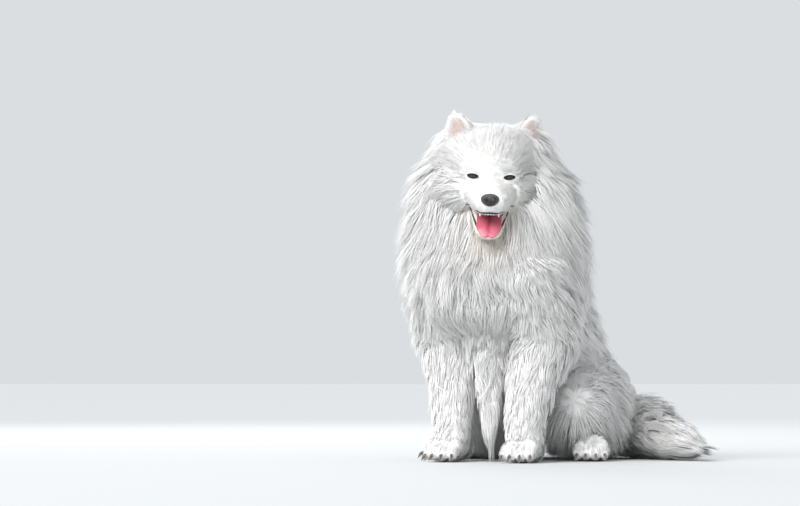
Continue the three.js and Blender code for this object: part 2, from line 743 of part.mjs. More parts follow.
// Each piece's solid as a three.js geometry.
function geometryOf(solid) {
  const { vertProperties, triVerts } = solid.getMesh();
  return new THREE.BufferGeometry()
    .setAttribute("position", new THREE.BufferAttribute(vertProperties, 3))
    .setIndex(new THREE.BufferAttribute(triVerts, 1));
}

const dog = new THREE.Group();
for (const [name, solid] of Object.entries(pieces)) {
  const mesh = new THREE.Mesh(geometryOf(keepLargest(solid.asOriginal().simplify(FINENESS))), finishOf(name));
  mesh.name = name;
  dog.add(mesh);
}

// The origin is the middle of the floor under the whole dog.
const bounds = new THREE.Box3().setFromObject(dog);
const middle = bounds.getCenter(new THREE.Vector3());
dog.position.set(-middle.x, -middle.y, 0);

export default dog;
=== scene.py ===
"""A sitting samoyed: one skin under a coat of solid tufts, with eyes, nose, lips, tongue, teeth and claws.

Measures are in millimetres in the frame of the dog's chest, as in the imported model's source, and are moved into
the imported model's frame and turned into metres when a mesh is made.
"""

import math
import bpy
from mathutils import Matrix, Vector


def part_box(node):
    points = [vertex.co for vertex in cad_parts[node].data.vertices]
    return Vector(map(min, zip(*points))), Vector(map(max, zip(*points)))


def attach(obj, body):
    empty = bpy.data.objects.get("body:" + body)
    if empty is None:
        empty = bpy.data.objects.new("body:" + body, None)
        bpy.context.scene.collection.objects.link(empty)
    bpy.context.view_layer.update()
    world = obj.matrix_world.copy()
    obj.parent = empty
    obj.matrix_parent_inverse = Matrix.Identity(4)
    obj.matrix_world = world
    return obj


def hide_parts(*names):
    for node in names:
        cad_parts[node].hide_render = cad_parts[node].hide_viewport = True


bl_info = {
    "name": "Samoyed",
    "version": (1, 0, 0),
    "blender": (4, 5, 0),
    "location": "View3D > Sidebar > Samoyed",
    "description": "Dresses the packed samoyed in skin and coat",
    "category": "Object",
}

import bmesh
import bpy
import numpy as np
from bpy.props import FloatProperty, IntProperty, PointerProperty
from mathutils import Vector
from mathutils.bvhtree import BVHTree

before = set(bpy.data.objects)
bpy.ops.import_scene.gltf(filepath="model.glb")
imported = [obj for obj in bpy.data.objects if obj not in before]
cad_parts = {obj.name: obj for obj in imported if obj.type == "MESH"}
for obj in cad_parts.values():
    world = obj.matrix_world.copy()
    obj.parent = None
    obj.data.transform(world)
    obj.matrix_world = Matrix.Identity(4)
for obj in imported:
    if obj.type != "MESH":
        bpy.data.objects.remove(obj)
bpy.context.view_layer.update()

TRUNK_TURN = math.radians(24)
RUFF_TURN = math.radians(10)
HEAD_ROLL = math.radians(2.5)
CHEST_X = -9
SKULL_CENTRE = np.array([-5.0, -20.0, 597.0])
DRAW_IN = 0.5
HANDS = (1, -1)
SIDE_NAMES = {1: "left", -1: "right"}
NO_COAT = (0, 0, 0)
UP = np.array([0.0, 0.0, 1.0])
AHEAD = np.array([-math.sin(TRUNK_TURN), -math.cos(TRUNK_TURN), 0.0])
LEFT = np.array([math.cos(TRUNK_TURN), -math.sin(TRUNK_TURN), 0.0])
CAP_SHARE = 0.12  # of a form's rings that go round each of its ends
POLE_TURN = 1.3  # how far round an end a tuft bends before it runs straight out
BODY_SHARE = 0.48  # of the coat's depth that lies under the skin
FACE_SHARE = 0.55


def on_trunk(ahead, left, up):
    """A point so far ahead of the forelegs, to the dog's left and above the floor."""
    return np.array([CHEST_X, 0.0, up]) + ahead * AHEAD + left * LEFT


def head_way(left, ahead, up):
    """A direction in the head's frame."""
    cos, sin = math.cos(HEAD_ROLL), math.sin(HEAD_ROLL)
    return np.array([left * cos + up * sin, -float(ahead), -left * sin + up * cos])


def on_head(left, ahead, up):
    """A point measured from the middle of the skull."""
    return head_way(left, ahead, up) + SKULL_CENTRE


def unit(vectors):
    """Vectors brought to length one."""
    return vectors / np.maximum(np.linalg.norm(vectors, axis=-1, keepdims=True), 1e-9)


def smooth_curve(points, count):
    """Points evenly spread in parameter along a centripetal curve through the given ones."""
    points = np.array(points, float)
    ends = [2 * points[0] - points[1], *points, 2 * points[-1] - points[-2]]
    out = []
    for step in np.linspace(0, len(points) - 1, count):
        first = min(int(step), len(points) - 2)
        before, start, stop, after = ends[first : first + 4]
        share = step - first
        gaps = [
            np.sum((b - a) ** 2) ** 0.25
            for a, b in ((before, start), (start, stop), (stop, after))
        ]
        middle = gaps[1] if gaps[1] > 1e-4 else 1.0
        left, right = (g if g > 1e-4 else middle for g in (gaps[0], gaps[2]))
        leave = middle * (
            (start - before) / left
            - (stop - before) / (left + middle)
            + (stop - start) / middle
        )
        meet = middle * (
            (stop - start) / middle
            - (after - start) / (middle + right)
            + (after - stop) / right
        )
        bend = -3 * start + 3 * stop - 2 * leave - meet
        twist = 2 * start - 2 * stop + leave + meet
        out.append(start + leave * share + bend * share**2 + twist * share**3)
    return np.array(out)


class Limb:
    """A round-ended form along a smooth spine; each station is (place, flesh radii, depths of coat)."""

    SAMPLES = 97

    def __init__(self, stations, side, top, caps):
        self.caps = caps
        self.steps = np.linspace(0, 1, self.SAMPLES)
        self.spine = smooth_curve([s[0] for s in stations], self.SAMPLES)
        self.flesh = smooth_curve([s[1] for s in stations], self.SAMPLES)
        self.coat = smooth_curve([s[2] for s in stations], self.SAMPLES)
        self.length = float(np.linalg.norm(np.diff(self.spine, axis=0), axis=1).sum())
        tangent = unit(np.gradient(self.spine, axis=0))
        side = np.asarray(side, float)
        across = unit(side - tangent * (tangent @ side)[:, None])
        over = np.cross(across, tangent)
        over[over @ np.asarray(top, float) < 0] *= -1
        self.tangent, self.across, self.over = tangent, across, unit(over)

    def at(self, table, along):
        """A sampled quantity at shares of the spine."""
        return np.stack([np.interp(along, self.steps, column) for column in table.T], axis=-1)

    def bulge(self, end, share):
        """How far an end bulges past its station, with a share of the coat."""
        row = -1 if end else 0
        flesh, coat = self.flesh[row][0], self.coat[row][0] * share
        return self.caps[end] * (flesh + coat) / flesh

    def arc(self, end):
        """The way over the skin from an end's station to its pole."""
        row = -1 if end else 0
        radius = (self.flesh[row] + self.coat[row] * 0.5).mean()
        return math.pi / 2 * math.sqrt((self.bulge(end, 0.5) ** 2 + radius**2) / 2)

    def surface(self, along, angle, share, cap=None):
        """Points on the surface at angles round the spine, also past its ends, and the ways out there.

        `along` runs past 0 and 1 by lengths of arc. With `cap`, the share of the way from an end's station to
        its pole stands in for them.
        """
        along, angle, share = np.broadcast_arrays(*(np.asarray(v, float) for v in (along, angle, share)))
        within = np.clip(along, 0, 1)
        past = (along - within) * self.length
        slide = 0
        if cap is None:
            quarter = np.where(past < 0, self.arc(0), self.arc(1)) / (math.pi / 2)
            turn = np.clip(past / quarter, -POLE_TURN, POLE_TURN)
            slide = past - turn * quarter
            cap = np.sin(turn)
        reach = np.where(cap < 0, self.bulge(0, share), self.bulge(1, share))
        round_off = np.sqrt(np.maximum(1 - cap * cap, 0))
        radii = self.at(self.flesh, within) + self.at(self.coat, within) * share[..., None]
        tangent, across, over = (self.at(t, within) for t in (self.tangent, self.across, self.over))
        x, y = np.cos(angle)[..., None], np.sin(angle)[..., None]
        rise = np.where(y > 0, radii[..., 1:2], radii[..., 2:3])
        out = (across * x / radii[..., :1] + over * y / rise) * round_off[..., None]
        out = unit(out + tangent * (cap / np.maximum(reach, 1e-6))[..., None])
        place = self.at(self.spine, within) + tangent * (cap * reach + slide)[..., None]
        return place + (across * x * radii[..., :1] + over * y * rise) * round_off[..., None], out

    def locate(self, points, share):
        """Where points lie along and round the limb, and how far they are outside its surface."""
        away = (self.spine**2).sum(1)[None] - 2 * points @ self.spine.T
        nearest = away.argmin(1)
        tangent = self.tangent[nearest]
        here = self.steps[nearest] + ((points - self.spine[nearest]) * tangent).sum(1) / self.length
        within = np.clip(here, 0, 1)
        offset = points - self.at(self.spine, within)
        past = np.where(here == within, 0, (offset * tangent).sum(1))
        x = (offset * self.at(self.across, within)).sum(1)
        y = (offset * self.at(self.over, within)).sum(1)
        radii = self.at(self.flesh, within) + self.at(self.coat, within) * share
        rise = np.where(y > 0, radii[:, 1], radii[:, 2])
        reach = np.where(past < 0, self.bulge(0, share), self.bulge(1, share))
        scale = np.sqrt((x / radii[:, 0]) ** 2 + (y / rise) ** 2 + (past / reach) ** 2)
        scale = np.maximum(scale, 1e-6)
        apart = (scale - 1) * np.linalg.norm(offset, axis=1) / scale
        turn = np.arcsin(np.clip(past / reach / scale, -1, 1))
        quarter = np.where(past < 0, self.arc(0), self.arc(1)) / (math.pi / 2)
        return within + turn * quarter / self.length, np.arctan2(y / rise, x / radii[:, 0]), apart


# The dog's forms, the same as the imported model's source


def same(depth):
    return (depth, depth, depth)


TRUNK = Limb(
    [
        (on_trunk(10, 0, 385), (80, 70, 70), (60, 60, 50)),
        (on_trunk(-50, 0, 366), (100, 112, 106), (54, 55, 45)),
        (on_trunk(-150, 0, 284), (101, 106, 98), (58, 54, 40)),
        (on_trunk(-240, 0, 188), (98, 98, 78), (58, 54, 35)),
        (on_trunk(-305, 0, 112), (92, 92, 70), (52, 50, 30)),
    ],
    LEFT,
    UP,
    (55, 62),
)
RUFF_SIDE = np.array([math.cos(RUFF_TURN), -math.sin(RUFF_TURN), 0])
NECK = Limb(
    [
        (on_trunk(-16, 6, 330), (100, 94, 66), (92, 60, 58)),
        (on_trunk(-16, 4, 415), (92, 92, 66), (104, 62, 62)),
        (on_head(6, -26, -96), (78, 68, 46), (110, 54, 44)),
        (on_head(2, -38, -20), (70, 54, 42), (104, 46, 34)),
        (on_head(2, -38, 30), (60, 46, 38), (78, 38, 24)),
    ],
    RUFF_SIDE,
    np.array([math.sin(RUFF_TURN), math.cos(RUFF_TURN), 0]),
    (40, 36),
)
APRON = Limb(
    [
        (on_trunk(14, 0, 290), (44, 26, 30), (14, 16, 14)),
        (on_trunk(4, 0, 195), (24, 14, 18), same(12)),
        (on_trunk(-2, 0, 100), (11, 8, 9), (10, 8, 8)),
    ],
    LEFT,
    AHEAD,
    (20, 30),
)
TAIL = Limb(
    [
        (on_trunk(-330, 20, 72), same(26), (40, 50, 40)),
        (on_trunk(-372, 100, 60), same(25), (58, 74, 34)),
        (on_trunk(-350, 200, 50), same(21), (56, 68, 30)),
        (on_trunk(-296, 278, 38), same(13), (42, 40, 26)),
    ],
    AHEAD,
    UP,
    (20, 26),
)
HEAD_SIDE = head_way(1, 0, 0)
HEAD_UP = head_way(0, 0, 1)
HEAD_AHEAD = head_way(0, 1, 0)
SKULL = Limb(
    [
        (on_head(0, -60, 4), (48, 44, 44), (48, 34, 40)),
        (on_head(0, -26, 8), (62, 50, 54), (54, 34, 40)),
        (on_head(0, 16, 2), (60, 46, 52), (34, 24, 26)),
        (on_head(0, 46, -12), (48, 30, 34), (10, 9, 8)),
    ],
    HEAD_SIDE,
    HEAD_UP,
    (26, 24),
)
MUZZLE = Limb(
    [
        (on_head(0, 20, -44), (54, 34, 34), same(6)),
        (on_head(0, 72, -61), (42, 27, 35), (6, 4, 6)),
        (on_head(0, 112, -73), (33, 23, 29), (6, 3, 4)),
        (on_head(0, 128, -78), (27, 18, 25), (4, 2, 3)),
    ],
    HEAD_SIDE,
    HEAD_UP,
    (20, 8),
)
JAW = Limb(
    [
        (on_head(0, 12, -72), (42, 14, 22), (4, 2, 6)),
        (on_head(0, 54, -105), (33, 10, 20), (4, 2, 6)),
        (on_head(0, 94, -135), (24, 9, 14), (4, 1, 5)),
    ],
    HEAD_SIDE,
    HEAD_UP,
    (10, 12),
)


def cheek(hand):
    stations = [
        (on_head(hand * 40, -10, -34), (32, 40, 42), (50, 26, 44)),
        (on_head(hand * 34, 38, -50), (26, 28, 30), (14, 8, 14)),
    ]
    return Limb(stations, HEAD_SIDE, HEAD_UP, (22, 20))


def brow(hand):
    stations = [
        (on_head(hand * 16, 62, -3), same(9), same(4)),
        (on_head(hand * 34, 58, -2), same(10), same(4)),
        (on_head(hand * 52, 40, -9), same(9), same(4)),
    ]
    return Limb(stations, HEAD_UP, HEAD_AHEAD, (8, 8))


def lids(hand):
    stations = [
        (on_head(hand * 22, 62, -24), same(7), NO_COAT),
        (on_head(hand * EYE_ACROSS, 57, -22), (13.5, 13, 14.5), NO_COAT),
        (on_head(hand * 51, 49, -21), same(8), NO_COAT),
    ]
    return Limb(stations, HEAD_UP, HEAD_AHEAD, (5, 6))


def foreleg(hand):
    stations = [
        (on_trunk(12, hand * 92, 376), (40, 52, 50), (52, 40, 40)),
        (on_trunk(-12, hand * 97, 312), (42, 46, 50), (54, 34, 46)),
        (on_trunk(-30, hand * 94, 244), (36, 36, 42), (54, 22, 60)),
        (on_trunk(-10, hand * 86, 166), (28, 28, 30), (30, 16, 52)),
        (on_trunk(8, hand * 82, 88), (26, 25, 26), (19, 14, 26)),
        (on_trunk(14, hand * 82, 46), (29, 26, 26), (14, 12, 14)),
    ]
    return Limb(stations, LEFT, AHEAD, (30, 14))


def thigh(hand):
    stations = [
        (on_trunk(-286, hand * 92, 118), (62, 80, 74), (46, 54, 34)),
        (on_trunk(-215, hand * 112, 118), (58, 68, 76), (42, 48, 30)),
        (on_trunk(-156, hand * 126, 122), (44, 46, 60), (34, 34, 26)),
    ]
    return Limb(stations, LEFT, UP, (52, 42))


def shank(hand):
    stations = [
        (on_trunk(-142, hand * 136, 112), (34, 30, 30), (24, 22, 22)),
        (on_trunk(-210, hand * 132, 70), (28, 26, 26), (22, 18, 22)),
        (on_trunk(-278, hand * 128, 44), (22, 20, 20), (18, 16, 18)),
    ]
    return Limb(stations, LEFT, AHEAD, (18, 14))


TOES = 4
TOE_FAN = math.radians(11)
TOE_LENGTH = 30


def feet():
    """Each foot's heel, toe line and width."""
    made = []
    for hand in HANDS:
        made.append((on_trunk(-8, hand * 82, 34), on_trunk(34, hand * 84, 28), 31))
        made.append((on_trunk(-262, hand * 126, 34), on_trunk(-134, hand * 168, 28), 30))
    return made


def sole(heel, toe, width):
    way = unit((toe - heel) * (1, 1, 0))
    stations = [
        (heel, (width * 0.86, 26, 26), (14, 14, 12)),
        (heel + (toe - heel) * 0.55, (width * 0.94, 24, 24), same(12)),
        (toe, (width, 22, 22), same(9)),
    ]
    return Limb(stations, np.cross(UP, way), UP, (16, 10))


def toe_lines(heel, toe, width):
    """Each toe's root, knuckle and tip, and the way it points."""
    way = unit((toe - heel) * (1, 1, 0))
    across = np.cross(UP, way)
    lines = []
    for i in range(TOES):
        place = (i - (TOES - 1) / 2) / ((TOES - 1) / 2)
        middle = 1 - abs(place)
        turn = -place * TOE_FAN * 1.5
        cos, sin = math.cos(turn), math.sin(turn)
        lead = np.array([way[0] * cos - way[1] * sin, way[0] * sin + way[1] * cos, 0])
        root = toe - across * place * width * 0.66
        root[2] = 24
        knuckle = root + lead * TOE_LENGTH * (0.45 + 0.25 * middle)
        knuckle[2] = 23
        tip = root + lead * TOE_LENGTH * (0.8 + 0.35 * middle)
        tip[2] = 14
        lines.append((root, knuckle, tip, lead))
    return lines


def toe_form(root, knuckle, tip, lead):
    stations = [
        (root, (11, 15, 14), same(4)),
        (knuckle, (11, 13, 14), same(4)),
        (tip, (8, 8, 10), same(3)),
    ]
    return Limb(stations, np.cross(UP, lead), UP, (8, 6))


def claw_form(root, knuckle, tip, lead):
    first, bend, point = (tip + lead * reach for reach in (2, 12, 19))
    first[2], bend[2], point[2] = 15, 12.5, 4
    stations = [
        (first, (3.2, 3.8, 3.8), NO_COAT),
        (bend, (2.7, 3.2, 3.2), NO_COAT),
        (point, same(0.8), NO_COAT),
    ]
    return Limb(stations, np.cross(UP, lead), UP, (3, 2))


def ear_axis(hand, up):
    return on_head(2 + hand * (60 + 0.3 * (up - 30)), -12 + 0.06 * (up - 30), up)


def ear_way(hand):
    return head_way(hand * 0.3, 1, 0)


def ear(hand):
    stations = [
        (ear_axis(hand, 26), (29, 10, 12), (9, 4, 8)),
        (ear_axis(hand, 58), (31, 9, 10), (7, 4, 6)),
        (ear_axis(hand, 84), (25, 7, 8), (5, 3, 4)),
        (ear_axis(hand, 99), (16, 6, 6), (4, 2, 3)),
    ]
    return Limb(stations, head_way(1, -hand * 0.3, 0), ear_way(hand), (6, 8))


def ear_mound(hand):
    """The tuft of hair that stands on the crown beside an ear."""
    stations = [
        (on_head(hand * 32, -16, 50), (22, 18, 18), same(8)),
        (on_head(hand * 46, -13, 68), (14, 12, 12), same(8)),
        (on_head(hand * 55, -9, 84), (7, 6, 6), same(7)),
    ]
    return Limb(stations, HEAD_AHEAD, HEAD_UP, (6, 6))


def ear_cup(hand):
    way = ear_way(hand)
    stations = [
        (ear_axis(hand, 44) + way * 9, (17, 9, 10), NO_COAT),
        (ear_axis(hand, 66) + way * 9, (23, 9, 12), NO_COAT),
        (ear_axis(hand, 90) + way * 7, (14, 8, 8), NO_COAT),
    ]
    return Limb(stations, head_way(1, -hand * 0.3, 0), way, (8, 9))


EYE_RADIUS = 11.5
EYE_ACROSS = 37
EYE_UP = -22


def eye_centre(hand):
    return on_head(hand * EYE_ACROSS, 56, EYE_UP)


def almond(grow, count=28):
    """The opening between the lids as (across from the nose side outwards, up), `grow` wider all round."""
    turn = np.linspace(0, 2 * math.pi, count, endpoint=False)
    across = (10.4 + grow) * np.cos(turn)
    rise = np.sin(turn)
    height = np.where(rise > 0, 3.4, 4.2) + grow
    slope = -0.6 + 0.09 * across
    return across, np.sign(rise) * np.abs(rise) ** 1.2 * height + slope


NOSE = Limb(
    [
        (on_head(0, 126, -68), (17, 9, 12), NO_COAT),
        (on_head(0, 136, -72), (18.5, 11, 15), NO_COAT),
        (on_head(0, 144, -75), (14, 9, 12), NO_COAT),
    ],
    HEAD_SIDE,
    HEAD_UP,
    (4, 6),
)
TONGUE = Limb(
    [
        (on_head(0, 40, -84), (20, 5, 8), NO_COAT),
        (on_head(0, 74, -106), (25, 5, 7), NO_COAT),
        (on_head(0, 100, -128), (25, 4.5, 5), NO_COAT),
        (on_head(0, 111, -142), (16, 3.5, 4), NO_COAT),
    ],
    HEAD_SIDE,
    head_way(0, 0.6, 0.8),
    (4, 9),
)
MOUTH = Limb(
    [
        (on_head(0, 34, -80), (28, 8, 8), NO_COAT),
        (on_head(0, 80, -103), (30, 13, 10), NO_COAT),
        (on_head(0, 118, -121), (26, 20, 14), NO_COAT),
    ],
    HEAD_SIDE,
    HEAD_UP,
    (4, 30),
)
UPPER_LIP = [(50, 44, -83), (40, 82, -100), (27, 117, -104), (0, 130, -101)]
LOWER_LIP = [(42, 38, -86), (32, 66, -107), (22, 94, -127), (0, 106, -135)]


def lip_line(half, count=49):
    """The line of a lip from one corner of the mouth to the other, given its left half."""
    mirrored = [(-a, b, c) for a, b, c in half[:-1]]
    return smooth_curve([on_head(*p) for p in [*mirrored, *half[::-1]]], count)


def shift_to_frame():
    """From the chest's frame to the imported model's: both have the left eye's ball."""
    low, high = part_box("eye_left")
    return np.array((low + high) / 2) * 1000 - eye_centre(1)


SHIFT = shift_to_frame()


def to_metres(points):
    return (np.asarray(points, float) + SHIFT) / 1000


def from_metres(points):
    return np.asarray(points, float) * 1000 - SHIFT


# Materials


def linear(code):
    """A colour written as a hex code, in linear light."""
    parts = [int(code[i : i + 2], 16) / 255 for i in (1, 3, 5)]
    return [c / 12.92 if c < 0.04045 else ((c + 0.055) / 1.055) ** 2.4 for c in parts]


def add_node(tree, kind, **sockets):
    """A new node with its inputs set; an input given as another node's output is linked."""
    node = tree.nodes.new(kind)
    for name, value in sockets.items():
        socket = node.inputs[name.replace("_", " ")]
        if isinstance(value, bpy.types.NodeSocket):
            tree.links.new(value, socket)
        else:
            socket.default_value = value
    return node


def surface_material(name, colour=None, **sockets):
    """A plain material, or one coloured by the mesh's Tint where no colour is given."""
    material = bpy.data.materials.new(name)
    material.use_nodes = True
    tree = material.node_tree
    shader = tree.nodes["Principled BSDF"]
    if colour is None:
        tint = tree.nodes.new("ShaderNodeAttribute")
        tint.attribute_name = "Tint"
        tree.links.new(tint.outputs["Color"], shader.inputs["Base Color"])
    else:
        shader.inputs["Base Color"].default_value = (*linear(colour), 1)
    for socket, value in sockets.items():
        shader.inputs[socket.replace("_", " ")].default_value = value
    return material


def roughen(material, kind, scale, strength, distance):
    """Fine bump from a noise or cell texture in the object's own coordinates."""
    tree = material.node_tree
    place = tree.nodes.new("ShaderNodeTexCoord")
    grain = add_node(tree, kind, Vector=place.outputs["Object"], Scale=scale)
    height = grain.outputs["Distance" if kind.endswith("Voronoi") else 0]
    bump = add_node(tree, "ShaderNodeBump", Strength=strength, Distance=distance, Height=height)
    tree.links.new(bump.outputs["Normal"], tree.nodes["Principled BSDF"].inputs["Normal"])
    return material


WHITE = np.array(linear("#fcfbf9"))
CREAM = np.array(linear("#ecdccb"))
PINK_SKIN = np.array(linear("#f4dcd5"))
EAR_CANAL = np.array(linear("#c4736c"))
EYE_STAIN = np.array(linear("#b9a99e"))
LIP_STAIN = np.array(linear("#a89388"))
# Painted shade: near black for the walls of the mouth's hollow
PAINTED_MOUTH_SHADE = np.array(linear("#2a1013"))


def near(points, centre, radius):
    """One at the centre, falling smoothly to nothing at the radius."""
    distance = np.linalg.norm((points - centre) / radius, axis=-1)
    share = np.clip(1 - distance, 0, 1)
    return share * share * (3 - 2 * share)


def near_line(points, line, radius):
    """The same about a line of points."""
    return np.max([near(points, centre, radius) for centre in line[::2]], axis=0)


def coat_colour(points):
    """The colour of the coat at points: white, with cream at the throat and stains at lips and eyes."""
    colour = np.tile(WHITE, (len(points), 1))

    def tint(shade, share):
        nonlocal colour
        colour += (shade - colour) * np.clip(share, 0, 1)[:, None]

    tint(CREAM, 0.75 * near(points, on_head(0, 40, -150), np.array([95, 110, 80])))
    tint(CREAM, 0.35 * near(points, on_head(0, 110, -60), np.array([40, 50, 30])))
    tint(LIP_STAIN, 0.55 * near_line(points, lip_line(UPPER_LIP), 9))
    tint(CREAM, 0.7 * near_line(points, lip_line(LOWER_LIP), 12))
    for hand in HANDS:
        inner = on_head(hand * (EYE_ACROSS - 12), 66, EYE_UP - 4)
        tint(EYE_STAIN, 0.6 * near(points, inner, np.array([7, 20, 9])))
        tint(EYE_STAIN, 0.35 * near(points, on_head(hand * EYE_ACROSS, 68, EYE_UP), np.array([17, 24, 11])))
        tint(CREAM, 0.3 * near(points, on_head(hand * 50, 44, -82), np.array([24, 30, 24])))
    return colour


# Meshes


def add_object(name, mesh, material):
    """A piece of the dog, riding on its one body."""
    piece = bpy.data.objects.new(name, mesh)
    bpy.context.scene.collection.objects.link(piece)
    mesh.materials.clear()
    mesh.materials.append(material)
    mesh.polygons.foreach_set("use_smooth", np.ones(len(mesh.polygons), bool))
    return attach(piece, "root")


def add_form(bm, limb, share, segments, rings):
    """Adds the closed form of a limb, with a share of its coat, to a bmesh, in metres."""
    made = bmesh.ops.create_uvsphere(bm, u_segments=segments, v_segments=rings, radius=1)
    verts = made["verts"]
    ball = np.array([v.co for v in verts])
    step = np.arccos(np.clip(ball[:, 2], -1, 1)) / math.pi
    angle = np.arctan2(ball[:, 1], ball[:, 0])
    along = np.clip((step - CAP_SHARE) / (1 - 2 * CAP_SHARE), 0, 1)
    into = np.maximum(CAP_SHARE - step, step - (1 - CAP_SHARE)).clip(0) / CAP_SHARE
    cap = np.sin(into * math.pi / 2) * np.sign(step - 0.5)
    places, _ = limb.surface(along, angle, share, cap)
    for vert, place in zip(verts, to_metres(places)):
        vert.co = place


def mesh_from(bm, name):
    """The bmesh as a mesh, with its faces turned outwards."""
    bmesh.ops.recalc_face_normals(bm, faces=bm.faces)
    mesh = bpy.data.meshes.new(name)
    bm.to_mesh(mesh)
    bm.free()
    return mesh


def modified(mesh, *modifiers):
    """The mesh as modifiers leave it; each is (kind, settings)."""
    carrier = bpy.data.objects.new("carrier", mesh)
    bpy.context.scene.collection.objects.link(carrier)
    for kind, settings in modifiers:
        modifier = carrier.modifiers.new(kind, kind)
        for name, value in settings.items():
            setattr(modifier, name, value)
    bpy.context.view_layer.update()
    evaluated = carrier.evaluated_get(bpy.context.evaluated_depsgraph_get())
    made = bpy.data.meshes.new_from_object(evaluated)
    bpy.data.objects.remove(carrier)
    bpy.data.meshes.remove(mesh)
    return made


def fused(name, forms, voxel, smoothing):
    """One surface round all the forms, each (limb, share of coat)."""
    bm = bmesh.new()
    for limb, share in forms:
        add_form(bm, limb, share, 40, 28)
    return modified(
        mesh_from(bm, name),
        ("REMESH", {"mode": "VOXEL", "voxel_size": voxel / 1000}),
        ("SMOOTH", {"factor": 0.5, "iterations": smoothing}),
    )


def without(mesh, cutter_mesh):
    """The mesh with another cut out of it."""
    cutter = bpy.data.objects.new("cutter", cutter_mesh)
    bpy.context.scene.collection.objects.link(cutter)
    cut = modified(
        mesh,
        ("BOOLEAN", {"operation": "DIFFERENCE", "solver": "MANIFOLD", "object": cutter}),
    )
    bpy.data.objects.remove(cutter)
    bpy.data.meshes.remove(cutter_mesh)
    if not len(cut.vertices):
        raise RuntimeError("a cut left nothing of " + cut.name)
    return cut


def places_of(mesh):
    """A mesh's vertices in millimetres, in the chest's frame."""
    flat = np.zeros(len(mesh.vertices) * 3, np.float32)
    mesh.vertices.foreach_get("co", flat)
    return from_metres(flat.reshape(-1, 3))


def set_tint(mesh, colours):
    """Stores a colour for every vertex."""
    tint = mesh.color_attributes.new("Tint", "FLOAT_COLOR", "POINT")
    rgba = np.ones((len(colours), 4), np.float32)
    rgba[:, :3] = colours
    tint.data.foreach_set("color", rgba.ravel())


def tube(bm, line, radius, sides=8):
    """Adds a closed tube of changing radius along a line of points in millimetres."""
    radii = np.broadcast_to(radius, (len(line),))
    tangent = unit(np.gradient(line, axis=0))
    across = unit(np.cross(tangent, HEAD_AHEAD))
    over = np.cross(across, tangent)
    turn = np.linspace(0, 2 * math.pi, sides, endpoint=False)
    rings = []
    for centre, side, top, r in zip(line, across, over, radii):
        ring = centre + r * (np.cos(turn)[:, None] * side + np.sin(turn)[:, None] * top)
        rings.append([bm.verts.new(p) for p in to_metres(ring)])
    for first, second in zip(rings, rings[1:]):
        for i in range(sides):
            j = (i + 1) % sides
            bm.faces.new((first[i], first[j], second[j], second[i]))
    bm.faces.new(rings[0][::-1])
    bm.faces.new(rings[-1])


class Samoyed:
    """What one operator leaves for the next."""

    face = None  # a search tree of the head before the eyes are cut
    shells = {}  # the skins of the head, body and paws
    trees = {}  # search trees of the same


def tree_of(mesh):
    """A search tree of a mesh, in metres."""
    verts = [v.co.copy() for v in mesh.vertices]
    return BVHTree.FromPolygons(verts, [p.vertices[:] for p in mesh.polygons])


def on_face(across, up, lift=0.0):
    """The point of the face straight behind a place given across and up in the head's frame."""
    start = Vector(to_metres(on_head(across, 200, up)))
    hit, normal, _, _ = Samoyed.face.ray_cast(start, Vector(-HEAD_AHEAD))
    if hit is None:
        raise RuntimeError(f"the face has no surface at {across}, {up}")
    return from_metres(hit) + HEAD_AHEAD * lift


def settled(line):
    """A line moved on to the nearest of the face's skin, and smoothed."""
    made = np.array([from_metres(Samoyed.face.find_nearest(Vector(p))[0]) for p in to_metres(line)])
    for _ in range(3):
        made[1:-1] = (made[:-2] + 2 * made[1:-1] + made[2:]) / 4
    return made


def eye_prism(hand):
    """A prism through the face with the outline of the opening between the lids."""
    bm = bmesh.new()
    across, rise = almond(0)
    rings = []
    for ahead in (56, 96):
        points = [on_head(hand * (EYE_ACROSS + a), ahead, EYE_UP + r) for a, r in zip(across, rise)]
        rings.append([bm.verts.new(p) for p in to_metres(points)])
    for i in range(len(across)):
        j = (i + 1) % len(across)
        bm.faces.new((rings[0][i], rings[0][j], rings[1][j], rings[1][i]))
    bm.faces.new(rings[0])
    bm.faces.new(rings[1])
    return mesh_from(bm, "eye_prism")


def form_mesh(limb, segments, rings, name="form"):
    bm = bmesh.new()
    add_form(bm, limb, 0, segments, rings)
    return mesh_from(bm, name)


